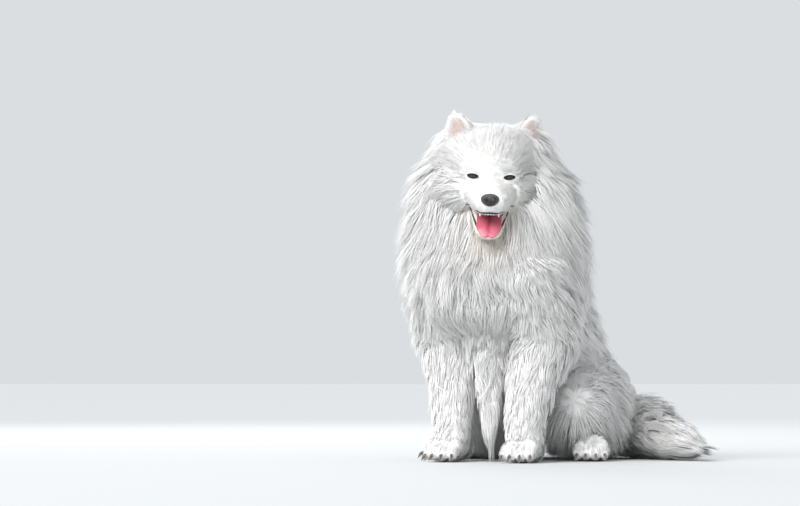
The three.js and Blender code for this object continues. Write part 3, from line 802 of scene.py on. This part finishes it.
class SAMOYED_OT_skin(bpy.types.Operator):
    """Build the one skin that replaces the solids of the flesh"""

    bl_idname = "samoyed.skin"
    bl_label = "Skin"

    def execute(self, context):
        settings = context.scene.samoyed
        material = roughen(
            surface_material("skin", Roughness=0.85, Specular_IOR_Level=0.2),
            "ShaderNodeTexNoise", 900, 0.25, 0.0006,
        )
        bare = [(form(hand), 0.1) for hand in HANDS for form in (brow, lids)]
        head = fused("head", skin_share(head_growth()) + bare, settings.face_grain, 4)
        Samoyed.face = tree_of(head)
        head = without(head, form_mesh(MOUTH, 32, 24))
        for hand in HANDS:
            head = without(head, form_mesh(ear_cup(hand), 32, 24))
            head = without(head, eye_prism(hand))
        Samoyed.shells = {
            "head": head,
            "body": fused("body", skin_share(body_growth()), settings.body_grain, 12),
            "paws": fused("paws", skin_share(paw_growth()), settings.body_grain * 0.65, 4),
        }
        bm = bmesh.new()
        for name, mesh in Samoyed.shells.items():
            Samoyed.trees[name] = tree_of(mesh)
            bm.from_mesh(mesh)
        floor = SHIFT[2] / 1000
        for vert in bm.verts:
            vert.co.z = max(vert.co.z, floor + 0.0005)
        skin = bpy.data.meshes.new("skin")
        bm.to_mesh(skin)
        bm.free()
        places = places_of(skin)
        colours = coat_colour(places)
        for hand in HANDS:
            middle = ear_axis(hand, 66) + ear_way(hand) * 8
            inside = near(places, middle, np.array([34, 22, 52]))
            facing = (places - ear_axis(hand, 60)) @ ear_way(hand) > -3
            share = np.clip(1.6 * inside * facing, 0, 1)[:, None]
            colours += (PINK_SKIN - colours) * share
            deep = ear_axis(hand, 56) - HEAD_SIDE * hand * 4
            canal = near(places, deep, np.array([14, 26, 20]))
            colours += (EAR_CANAL - colours) * (canal * facing)[:, None]
        # Painted shade: the walls of the mouth's hollow are darkened to near black
        inside = self.in_mouth(places)
        colours += (PAINTED_MOUTH_SHADE - colours) * inside[:, None]
        set_tint(skin, colours)
        piece = add_object("skin", skin, material)
        flesh = [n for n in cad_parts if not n.startswith(("eye", "nose", "tongue"))]
        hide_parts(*flesh)
        return {"FINISHED"}

    def in_mouth(self, places):
        """One for the vertices on the walls of the mouth's hollow, which are painted near black as shade."""
        near_spine = np.full(len(places), np.inf)
        for along in np.linspace(0, 1, 40):
            centre = MOUTH.at(MOUTH.spine, along)
            radii = MOUTH.at(MOUTH.flesh, along)
            offset = places - centre
            x = offset @ HEAD_SIDE / (radii[0] + 1.5)
            y = offset @ HEAD_AHEAD / 6
            z = offset @ HEAD_UP
            z = z / (np.where(z > 0, radii[1], radii[2]) + 1.5)
            near_spine = np.minimum(near_spine, x * x + y * y * 0.2 + z * z)
        return (near_spine < 1.0).astype(float)


# The coat

LEVELS = {3: np.array([0.0, 0.34, 0.68, 1.0]), 2: np.array([0.0, 0.5, 1.0])}  # of rings and tip
THICKNESS = {3: (0.8, 1.0, 0.66), 2: (1.0, 0.8)}
CORNERS = ((-1.0, -0.35), (1.0, -0.35), (0.0, 0.8))
PIECE_TRIANGLES = 190000
STRAY = 0.06  # how far single tufts stand out past the rest, in coat depths
LIFT = 0.13  # the least height of a tip over the skin, in tuft lengths
UV_TILES = 8
UV_PATCH = 0.003
ROUND_SHADE = 0.6  # how much of a tuft's shading follows its own roundness, and not the body's


def tuft_faces(rings):
    """The triangles of one tuft: a base, rings of three corners, and a tip."""
    faces = [(0, 1, 2)]
    for ring in range(rings - 1):
        for i in range(3):
            j = (i + 1) % 3
            a, b, c, d = ring * 3 + i, ring * 3 + j, ring * 3 + 3 + j, ring * 3 + 3 + i
            faces += [(a, c, b), (a, d, c)]
    last = rings * 3 - 3
    faces += [(last + i, last + 3, last + (i + 1) % 3) for i in range(3)]
    return np.array(faces)


class Growth:
    """How the coat grows on one form: how close, long and wide its tufts are, and how they lie."""

    def __init__(self, area, limb, share, density, length, width, lie=1, sag=0.0, reach=(0.75, 1.0),
                 clump=0.42, clump_size=22, wander=0.18, far_length=1.0, rings=3):
        self.area, self.limb, self.share = area, limb, share
        self.density, self.length, self.width = density, length, width
        self.lie, self.sag, self.reach = lie, sag, reach
        self.clump, self.clump_size, self.wander = clump, clump_size, wander
        self.far_length, self.rings = far_length, rings

    def paths(self, roots, along, angle, rng):
        """The places of each tuft's rings and tip, the ways out at each, and each tuft's lightness.

        Tufts that stand together in a lock share most of their length, height, drift and lightness.
        """
        limb, count = self.limb, len(roots)
        locks = max(1, count // self.clump_size)
        heads = roots[rng.choice(count, locks, replace=False)]
        away = (heads**2).sum(1)[None] - 2 * roots @ heads.T
        lock = away.argmin(1)
        length = self.length * (rng.uniform(0.75, 1.1, locks)[lock] + rng.uniform(-0.1, 0.15, count))
        length *= np.interp(along, (0, 1), (1, self.far_length))
        run = self.lie * length / limb.length
        within = np.clip(along, 0, 1)
        girth = (limb.at(limb.flesh, within) + 0.5 * limb.at(limb.coat, within)).mean(axis=1)
        drift = rng.normal(0, self.wander, locks)[lock] + rng.normal(0, self.wander / 2, count)
        drift *= length / girth
        tip_share = rng.uniform(*self.reach, locks)[lock] + rng.uniform(-0.08, 0.08, count)
        tip_share += np.minimum(STRAY * rng.exponential(1, count), 0.35)
        places, outs = [], []
        for level in LEVELS[self.rings]:
            share = self.share + (tip_share - self.share) * level**0.7
            place, out = limb.surface(along + run * level, angle + drift * level, share)
            places.append(place - UP * self.sag * level**2)
            outs.append(out)
        places, outs = np.stack(places, 1), np.stack(outs, 1)
        places += (roots - places[:, 0])[:, None]
        places[:, 0] -= outs[:, 0] * 2
        total = np.maximum(np.bincount(lock, minlength=locks), 1)[:, None, None]
        middle = np.zeros((locks, *places.shape[1:]))
        np.add.at(middle, lock, places)
        middle = (middle / total)[lock]
        goal = middle + 0.3 * (places[:, :1] - middle[:, :1])
        pull = (self.clump * LEVELS[self.rings] ** 1.2)[None, :, None]
        lightness = rng.uniform(0.92, 1.0, locks)[lock] * rng.uniform(0.95, 1.0, count)
        return places + (goal - places) * pull, outs, lightness


def tuft_arrays(places, outs, width):
    """The vertices of the tufts and the ways they are shaded."""
    rings = places.shape[1] - 1
    along = unit(np.gradient(places, axis=1))
    across = unit(np.cross(along, outs))
    over = unit(np.cross(across, along))
    verts, shading = [], []
    for level in range(rings):
        size = (width * THICKNESS[rings][level] / 2)[:, None]
        for x, y in CORNERS:
            side = x * across[:, level] + y * over[:, level]
            verts.append(places[:, level] + size * side)
            shading.append(outs[:, level] + ROUND_SHADE * side)
    verts.append(places[:, -1])
    shading.append(outs[:, -1])
    return np.stack(verts, 1), unit(np.stack(shading, 1))


def add_tufts(name, verts, shading, roots_uv, colours, material):
    """Joined closed tufts as one piece, with their colours and their OFBake map."""
    count, corners = verts.shape[:2]
    rings = corners // 3
    floor = to_metres([[0, 0, 0]])[0][2]
    points = to_metres(verts.reshape(-1, 3))
    points[:, 2] = np.maximum(points[:, 2], floor + 0.0006)
    faces = (tuft_faces(rings)[None] + (np.arange(count) * corners)[:, None, None]).reshape(-1, 3)
    mesh = bpy.data.meshes.new(name)
    mesh.vertices.add(len(points))
    mesh.vertices.foreach_set("co", points.astype(np.float32).ravel())
    mesh.loops.add(faces.size)
    mesh.loops.foreach_set("vertex_index", faces.astype(np.int32).ravel())
    mesh.polygons.add(len(faces))
    mesh.polygons.foreach_set("loop_start", np.arange(0, faces.size, 3, dtype=np.int32))
    mesh.update(calc_edges=True)
    set_tint(mesh, np.repeat(colours, corners, axis=0))
    spot = np.array([[x, level] for level in range(rings) for x in (0, 0.5, 1)] + [[0.5, rings]], float)
    spot = (spot / (1, rings) - 0.5) * UV_PATCH
    uv = (roots_uv[:, None] + spot[None]).reshape(-1, 2)[faces.ravel()]
    mesh.uv_layers.new(name="OFBake").data.foreach_set("uv", uv.astype(np.float32).ravel())
    piece = add_object(name, mesh, material)
    mesh.normals_split_custom_set_from_vertices(shading.reshape(-1, 3).astype(np.float32))
    return piece


def tile_uv(tile, along, angle):
    """Where a root lies on the unwrap of its limb, one tile of the map to each limb."""
    column, row = tile % UV_TILES, tile // UV_TILES
    share = np.clip((along + 0.5) / 2, 0, 1)
    turn = (angle / (2 * math.pi)) % 1.0
    inside = np.stack([0.04 + 0.92 * share, 0.04 + 0.92 * turn], -1)
    return (np.array([column, row]) + inside) / UV_TILES


def body_growth():
    """The long coat of the trunk, ruff, legs and tail."""
    made = [
        Growth("trunk", TRUNK, BODY_SHARE, 7.0, 62, 1.3, reach=(0.75, 1.15)),
        Growth("ruff", NECK, BODY_SHARE, 19.0, 80, 1.2, lie=-1, sag=10, reach=(0.75, 1.08), far_length=0.6),
        Growth("apron", APRON, BODY_SHARE, 10.0, 44, 1.2, reach=(0.9, 1.9)),
        Growth("tail", TAIL, BODY_SHARE, 12.0, 54, 1.2, reach=(0.8, 1.0), clump=0.3),
    ]
    for hand in HANDS:
        made += [
            Growth("forelegs", foreleg(hand), BODY_SHARE, 7.0, 40, 1.25, reach=(0.8, 1.1)),
            Growth("thighs", thigh(hand), BODY_SHARE, 8.0, 52, 1.3, lie=-1, sag=34, reach=(0.8, 1.15)),
            Growth("thighs", shank(hand), BODY_SHARE, 7.5, 30, 1.2),
        ]
    return made


def head_growth():
    """The coat of the head, short on the muzzle and long on the crown and cheeks."""
    short = {"lie": -1, "clump": 0.15, "reach": (0.8, 1.3), "rings": 2}
    made = [
        Growth("crown", SKULL, 0.48, 26.0, 25, 0.85, lie=-1, reach=(0.8, 1.15), clump=0.3, rings=2),
        Growth("face", MUZZLE, FACE_SHARE, 30.0, 9, 0.6, **short),
        Growth("face", JAW, FACE_SHARE, 20.0, 9, 0.6, **short),
    ]
    for hand in HANDS:
        made += [
            Growth("cheeks", cheek(hand), 0.48, 26.0, 60, 0.95, lie=-1, reach=(0.85, 1.3), sag=30),
            Growth("crown", ear_mound(hand), 0.3, 24.0, 26, 0.8, reach=(0.8, 1.6), rings=2),
            Growth("ears", ear(hand), 0, 22.0, 10, 0.6, reach=(0.4, 1.1), clump=0.2, rings=2),
        ]
    return made


def paw_growth():
    """The short fur of the feet."""
    made = []
    for foot in feet():
        made.append(Growth("paws", sole(*foot), 0.4, 10.0, 24, 0.9, reach=(0.9, 1.6), rings=2))
        for line in toe_lines(*foot):
            made.append(
                Growth("paws", toe_form(*line), 0.3, 15.0, 13, 0.8, reach=(0.9, 2.0), rings=2)
            )
    return made


def skin_share(growths):
    return [(growth.limb, growth.share) for growth in growths]


def owners(growths, points):
    """For each point, the form it is on and where on that form it is."""
    found = [growth.limb.locate(points, growth.share) for growth in growths]
    along, angle, apart = (np.stack(v, 1) for v in zip(*found))
    owner = apart.argmin(1)
    row = np.arange(len(points))
    return owner, along[row, owner], angle[row, owner]


def sample_roots(mesh, growths, density, rng):
    """Points spread over a skin as closely as the coat of each form asks."""
    mesh.calc_loop_triangles()
    corners = np.zeros(len(mesh.loop_triangles) * 3, np.int32)
    mesh.loop_triangles.foreach_get("vertices", corners)
    corners = corners.reshape(-1, 3)
    places = places_of(mesh)
    triangles = places[corners]
    area = np.linalg.norm(
        np.cross(triangles[:, 1] - triangles[:, 0], triangles[:, 2] - triangles[:, 0]), axis=1
    ) / 200
    owner, _, _ = owners(growths, triangles.mean(1))
    weight = np.cumsum(area * np.array([growth.density for growth in growths])[owner] * density)
    count = int(weight[-1])
    chosen = np.searchsorted(weight, rng.uniform(0, weight[-1], count))
    first, second = rng.uniform(0, 1, (2, count))
    over = first + second > 1
    first[over], second[over] = 1 - first[over], 1 - second[over]
    corner = triangles[chosen]
    return (
        corner[:, 0]
        + first[:, None] * (corner[:, 1] - corner[:, 0])
        + second[:, None] * (corner[:, 2] - corner[:, 0])
    )


def raised(places, tree, least):
    """Tufts lifted where they would dip into the skin."""
    levels = places.shape[1] - 1
    points = to_metres(places[:, 1:].reshape(-1, 3))
    needs = np.tile((np.arange(levels) + 1) / levels, len(places)) * least / 1000
    lift = np.zeros_like(points)
    for i, (point, need) in enumerate(zip(points, needs)):
        place = Vector(point)
        hit, normal, _, _ = tree.find_nearest(place, 0.03)
        if hit is None:
            continue
        height = (place - hit).dot(normal)
        if height < need:
            lift[i] = normal * (need - height)
    places[:, 1:] += lift.reshape(len(places), levels, 3) * 1000
    return places


def buried(roots, tree):
    """Which roots lie inside a closed skin."""
    inside = np.zeros(len(roots), bool)
    for i, root in enumerate(to_metres(roots)):
        place = Vector(root)
        hit, normal, _, _ = tree.find_nearest(place)
        inside[i] = (place - hit).dot(normal) < 0
    return inside


class SAMOYED_OT_coat(bpy.types.Operator):
    """Grow the long coat and the short fur as solid tufts over the skin"""

    bl_idname = "samoyed.coat"
    bl_label = "Coat"

    def execute(self, context):
        settings = context.scene.samoyed
        material = surface_material(
            "coat", Roughness=0.7, Specular_IOR_Level=0.25, Sheen_Weight=0.15, Sheen_Roughness=0.5
        )
        rng = np.random.default_rng(settings.seed)
        skin_tree = tree_of(bpy.data.objects["skin"].data)
        parts = {}
        tile = 0
        for name, growths in (("head", head_growth()), ("body", body_growth()), ("paws", paw_growth())):
            roots = sample_roots(Samoyed.shells[name], growths, settings.density, rng)
            for other, tree in Samoyed.trees.items():
                if other != name:
                    roots = roots[~buried(roots, tree)]
            owner, along, angle = owners(growths, roots)
            for number, growth in enumerate(growths):
                mine = owner == number
                tile += 1
                if not mine.any():
                    continue
                places, outs, lightness = growth.paths(roots[mine], along[mine], angle[mine], rng)
                places = raised(places, skin_tree, LIFT * growth.length)
                keep = clear_of_face(places)
                places, outs = places[keep], outs[keep]
                width = growth.width * settings.thickness * rng.uniform(0.75, 1.25, len(places))
                verts, shading = tuft_arrays(places, outs, width)
                uvs = tile_uv(tile - 1, along[mine][keep], angle[mine][keep])
                colours = coat_colour(places[:, -2]) * lightness[keep][:, None]
                parts.setdefault(growth.area, []).append((verts, shading, uvs, colours))
        for area, made in parts.items():
            made = [np.concatenate(v) for v in zip(*made)]
            print("TUFTS", area, len(made[0]))
            most = PIECE_TRIANGLES // len(tuft_faces(made[0].shape[1] // 3))
            for number, start in enumerate(range(0, len(made[0]), most), 1):
                piece = (v[start : start + most] for v in made)
                add_tufts(f"coat_{area}_{number}", *piece, material)
        return {"FINISHED"}


def clear_of_face(places):
    """Which tufts stay clear of the eyes, the nose and the mouth."""
    clear = np.ones(len(places), bool)
    for level in range(places.shape[1]):
        offset = places[:, level] - SKULL_CENTRE
        across, ahead, up = (offset @ way for way in (HEAD_SIDE, HEAD_AHEAD, HEAD_UP))
        for hand in HANDS:
            x = (hand * across - EYE_ACROSS) / 11.4
            z = (up - EYE_UP + 0.8) / 4.5
            clear &= ~((x * x + z * z < 1) & (ahead > 40))
        leather = (across / 19.5) ** 2 + ((up + 71.5) / 14) ** 2 < 1
        clear &= ~(leather & (ahead > 124))
    root = places[:, 0]
    for line in (lip_line(UPPER_LIP), lip_line(LOWER_LIP)):
        for centre in line[::2]:
            clear &= np.linalg.norm(places[:, -1] - centre, axis=1) > 3
            clear &= np.linalg.norm(root - centre, axis=1) > 3.5
    offset = root - SKULL_CENTRE
    across, ahead, up = (offset @ way for way in (HEAD_SIDE, HEAD_AHEAD, HEAD_UP))
    edge = np.interp(ahead, [40, 70, 100, 130], [-84, -98, -104, -103])
    low = np.interp(ahead, [40, 70, 92, 106], [-88, -108, -126, -136])
    inner = np.interp(ahead, [40, 80, 110], [40, 34, 24])
    in_mouth = (np.abs(across) < inner) & (ahead > 38) & (up < edge) & (up > low + 1)
    for hand in HANDS:
        cup = near(root, ear_axis(hand, 66) + ear_way(hand) * 9, np.array([30, 24, 40]))
        bare = (cup > 0.25) & ((root - ear_axis(hand, 60)) @ ear_way(hand) > 1)
        in_mouth |= bare & (np.arange(len(root)) % 5 < 3)
    return clear & ~in_mouth


class SAMOYED_OT_face(bpy.types.Operator):
    """Build the eyes, lids' rims, nose, lips, tongue and teeth"""

    bl_idname = "samoyed.face"
    bl_label = "Face"

    def execute(self, context):
        self.eyes()
        self.nose()
        self.mouth()
        return {"FINISHED"}

    def eyes(self):
        """Dark glossy balls, each seen between two black rims."""
        rim = surface_material("lid_rims", "#1a1414", Roughness=0.35)
        iris = surface_material("eyes", "#20130d", Roughness=0.04, Coat_Weight=1.0, Coat_Roughness=0.02)
        for hand in HANDS:
            side = SIDE_NAMES[hand]
            bm = bmesh.new()
            bmesh.ops.create_uvsphere(bm, u_segments=40, v_segments=24, radius=EYE_RADIUS / 1000)
            bmesh.ops.translate(bm, verts=bm.verts, vec=Vector(to_metres(eye_centre(hand))))
            ball = add_object("eye_ball_" + side, mesh_from(bm, "eye"), iris)
            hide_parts("eye_" + side)
            bm = bmesh.new()
            across, rise = almond(0.7, 41)
            across[-1], rise[-1] = across[0], rise[0]
            line = [on_face(hand * (EYE_ACROSS + a), EYE_UP + r, -0.3) for a, r in zip(across, rise)]
            line = np.array(line)
            tube(bm, line, 1.0)
            add_object("lid_rim_" + side, mesh_from(bm, "lid_rim"), rim)

    def nose(self):
        """A leathery nose with comma-shaped nostrils and a groove down its middle."""
        leather = roughen(
            surface_material("nose", None, Roughness=0.45, Coat_Weight=0.2, Coat_Roughness=0.35),
            "ShaderNodeTexVoronoi", 620, 0.4, 0.0008,
        )
        mesh = fused("nose", [(NOSE, 0)], 0.9, 3)
        for hand in HANDS:
            stations = [
                (on_head(hand * 6.0, 134, -72), (3.2, 3.6, 3.6), NO_COAT),
                (on_head(hand * 8.5, 151, -73.5), (4.8, 4.6, 4.6), NO_COAT),
                (on_head(hand * 17.5, 151, -77), (4, 1.8, 1.8), NO_COAT),
            ]
            mesh = without(mesh, form_mesh(Limb(stations, HEAD_SIDE, HEAD_UP, (2, 2)), 16, 14))
        groove = Limb(
            [
                (on_head(0, 154, -72), (1.0, 2.5, 2.5), NO_COAT),
                (on_head(0, 148.5, -84), (1.0, 2.5, 2.5), NO_COAT),
                (on_head(0, 138, -92), (1.0, 2.5, 2.5), NO_COAT),
            ],
            HEAD_SIDE, HEAD_AHEAD, (1, 1),
        )
        mesh = without(mesh, form_mesh(groove, 12, 14))
        places = places_of(mesh)
        offset = places - SKULL_CENTRE
        # Painted light: the leather is painted lighter towards its top, where light falls on it
        top = np.clip((offset @ HEAD_UP + 78) / 18, 0, 1)[:, None]
        painted_light_shades = np.array(linear("#2b2425")), np.array(linear("#5b5155"))
        colours = painted_light_shades[0] + (painted_light_shades[1] - painted_light_shades[0]) * top
        # Painted shade: the leather is darkened almost to black inside the nostrils
        for hand in HANDS:
            nostril_shade = near(places, on_head(hand * 8, 136, -73), np.array([9, 17, 8.5]))
            colours *= 1 - np.clip(3 * nostril_shade, 0, 0.93)[:, None]
        set_tint(mesh, colours)
        piece = add_object("nose_leather", mesh, leather)
        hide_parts("nose")

    def mouth(self):
        """Black lips, a grooved tongue with a cleft tip, and the small teeth that show."""
        lips = surface_material("lips", "#1d1819", Roughness=0.4, Coat_Weight=0.3)
        bm = bmesh.new()
        ends = np.linspace(-1, 1, 49)
        for half in (UPPER_LIP, LOWER_LIP):
            tube(bm, settled(lip_line(half)), 2.2 - 1.2 * np.abs(ends) ** 4)
        add_object("lips", mesh_from(bm, "lips"), lips)

        tongue = surface_material(
            "tongue", None, Roughness=0.38, Coat_Weight=0.4, Coat_Roughness=0.25, Subsurface_Weight=0.0
        )
        tongue = roughen(tongue, "ShaderNodeTexVoronoi", 900, 0.35, 0.0005)
        mesh = form_mesh(TONGUE, 64, 56, "tongue")
        places = places_of(mesh)
        offset = places - SKULL_CENTRE
        across = offset @ HEAD_SIDE
        ahead = offset @ HEAD_AHEAD
        groove = np.exp(-((across / 4.5) ** 2))
        top = head_way(0, 0.6, 0.8)
        upper = np.clip((places - TONGUE.at(TONGUE.spine, 0.6)) @ top / 4 + 0.5, 0, 1)
        tip = np.clip((ahead - 104) / 12, 0, 1)
        places = places - top * (2.6 * groove * upper)[:, None]
        places -= head_way(0, 0.5, -0.8) * (5 * groove * tip)[:, None]
        mesh.vertices.foreach_set("co", to_metres(places).astype(np.float32).ravel())
        # The tongue is redder at its edges and paler at its tip; the darker red along its middle groove is painted
        # shade
        rose, red = np.array(linear("#d9798b")), np.array(linear("#b8344f"))
        share = np.clip(0.75 - 0.5 * (np.abs(across) / 24) ** 2 - 0.5 * groove + 0.3 * tip, 0, 1)
        set_tint(mesh, red + (rose - red) * share[:, None])
        piece = add_object("tongue_flesh", mesh, tongue)
        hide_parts("tongue")

        ivory = surface_material("teeth", "#efe6d2", Roughness=0.25, Coat_Weight=0.5)
        bm = bmesh.new()
        for hand in HANDS:
            for across, length in ((2.6, 3), (8, 3), (18.5, 5.5)):
                ahead = 124 - 0.03 * across * across
                stations = [
                    (on_head(hand * across, ahead, -94), (2.3, 1.9, 1.9), NO_COAT),
                    (on_head(hand * across, ahead + 1, -100 - length / 2), (2.1, 1.6, 1.6), NO_COAT),
                    (on_head(hand * across, ahead, -100 - length), (0.8, 0.6, 0.6), NO_COAT),
                ]
                add_form(bm, Limb(stations, HEAD_SIDE, HEAD_AHEAD, (1, 0.8)), 0, 12, 12)
        add_object("teeth", mesh_from(bm, "teeth"), ivory)


class SAMOYED_OT_claws(bpy.types.Operator):
    """Build the claws"""

    bl_idname = "samoyed.claws"
    bl_label = "Claws"

    def execute(self, context):
        horn = surface_material("claws", "#6b625b", Roughness=0.35, Coat_Weight=0.2)
        bm = bmesh.new()
        for foot in feet():
            for line in toe_lines(*foot):
                add_form(bm, claw_form(*line), 0, 12, 12)
        add_object("claws", mesh_from(bm, "claws"), horn)
        return {"FINISHED"}


class SAMOYED_OT_stage(bpy.types.Operator):
    """Lay the floor, light the dog softly and point the camera as the photograph's was"""

    bl_idname = "samoyed.stage"
    bl_label = "Stage"

    def execute(self, context):
        scene = context.scene
        bm = bmesh.new()
        bmesh.ops.create_grid(bm, x_segments=1, y_segments=1, size=30)
        floor = bpy.data.objects.new("floor", mesh_from(bm, "floor"))
        paint = surface_material("floor", "#cfd1d2", Roughness=0.9, Specular_IOR_Level=0.1)
        floor.data.materials.append(paint)
        scene.collection.objects.link(floor)
        world = bpy.data.worlds.new("studio")
        world.use_nodes = True
        sky = world.node_tree.nodes["Background"]
        sky.inputs["Color"].default_value = (*linear("#d6d9dc"), 1)
        sky.inputs["Strength"].default_value = 1.05
        scene.world = world
        self.lamp("key", (-2.4, -3.0, 3.0), 2.6, 30)
        self.lamp("rim", (-1.2, 2.8, 2.6), 1.8, 40)
        sun = bpy.data.lights.new("sun", "SUN")
        sun.energy = 2.5
        sun.angle = math.radians(40)
        shine = bpy.data.objects.new("sun", sun)
        shine.rotation_euler = Vector((-1.6, -2.0, 2.2)).to_track_quat("Z", "Y").to_euler()
        scene.collection.objects.link(shine)
        camera = bpy.data.cameras.new("camera")
        camera.lens = 135
        camera.sensor_width = 36
        holder = bpy.data.objects.new("camera", camera)
        holder.location = Vector(SHIFT / 1000) + Vector((0, -6.1, 0.19))
        holder.rotation_euler = (math.radians(92.2), 0, math.radians(1.8))
        scene.collection.objects.link(holder)
        scene.camera = holder
        scene.view_settings.view_transform = "Standard"
        return {"FINISHED"}

    def lamp(self, name, place, size, power):
        """A square soft light that faces the dog."""
        light = bpy.data.lights.new(name, "AREA")
        light.size = size
        light.energy = power
        lamp = bpy.data.objects.new(name, light)
        lamp.location = place
        towards = Vector((0, 0, 0.35)) - lamp.location
        lamp.rotation_euler = towards.to_track_quat("-Z", "Y").to_euler()
        bpy.context.scene.collection.objects.link(lamp)


class SamoyedSettings(bpy.types.PropertyGroup):
    """What can be turned up or down in the dog's dress"""

    seed: IntProperty(name="Seed", description="Start of the coat's chance numbers", default=5, min=0)
    density: FloatProperty(name="Density", description="Tufts as a share of the full coat", default=0.91, min=0.05)
    thickness: FloatProperty(name="Thickness", description="Width of the tufts, as a factor", default=1.0, min=0.1)
    body_grain: FloatProperty(name="Body grain", description="Size of the body skin's faces, in mm", default=5.0)
    face_grain: FloatProperty(name="Face grain", description="Size of the face's faces, in mm", default=2.2)


class SAMOYED_PT_panel(bpy.types.Panel):
    """Settings and steps in the sidebar"""

    bl_label = "Samoyed"
    bl_idname = "SAMOYED_PT_panel"
    bl_space_type = "VIEW_3D"
    bl_region_type = "UI"
    bl_category = "Samoyed"

    def draw(self, context):
        for name in SamoyedSettings.__annotations__:
            self.layout.prop(context.scene.samoyed, name)
        for operator in OPERATORS:
            self.layout.operator(operator.bl_idname)


OPERATORS = (SAMOYED_OT_skin, SAMOYED_OT_face, SAMOYED_OT_claws, SAMOYED_OT_coat, SAMOYED_OT_stage)
CLASSES = (SamoyedSettings, *OPERATORS, SAMOYED_PT_panel)


def register():
    for cls in CLASSES:
        bpy.utils.register_class(cls)
    bpy.types.Scene.samoyed = PointerProperty(type=SamoyedSettings)


def unregister():
    del bpy.types.Scene.samoyed
    for cls in reversed(CLASSES):
        bpy.utils.unregister_class(cls)


def main():
    """Builds the whole dog."""
    register()
    bpy.ops.samoyed.skin()
    bpy.ops.samoyed.face()
    bpy.ops.samoyed.claws()
    bpy.ops.samoyed.coat()
    bpy.ops.samoyed.stage()


if __name__ == "__main__":
    main()
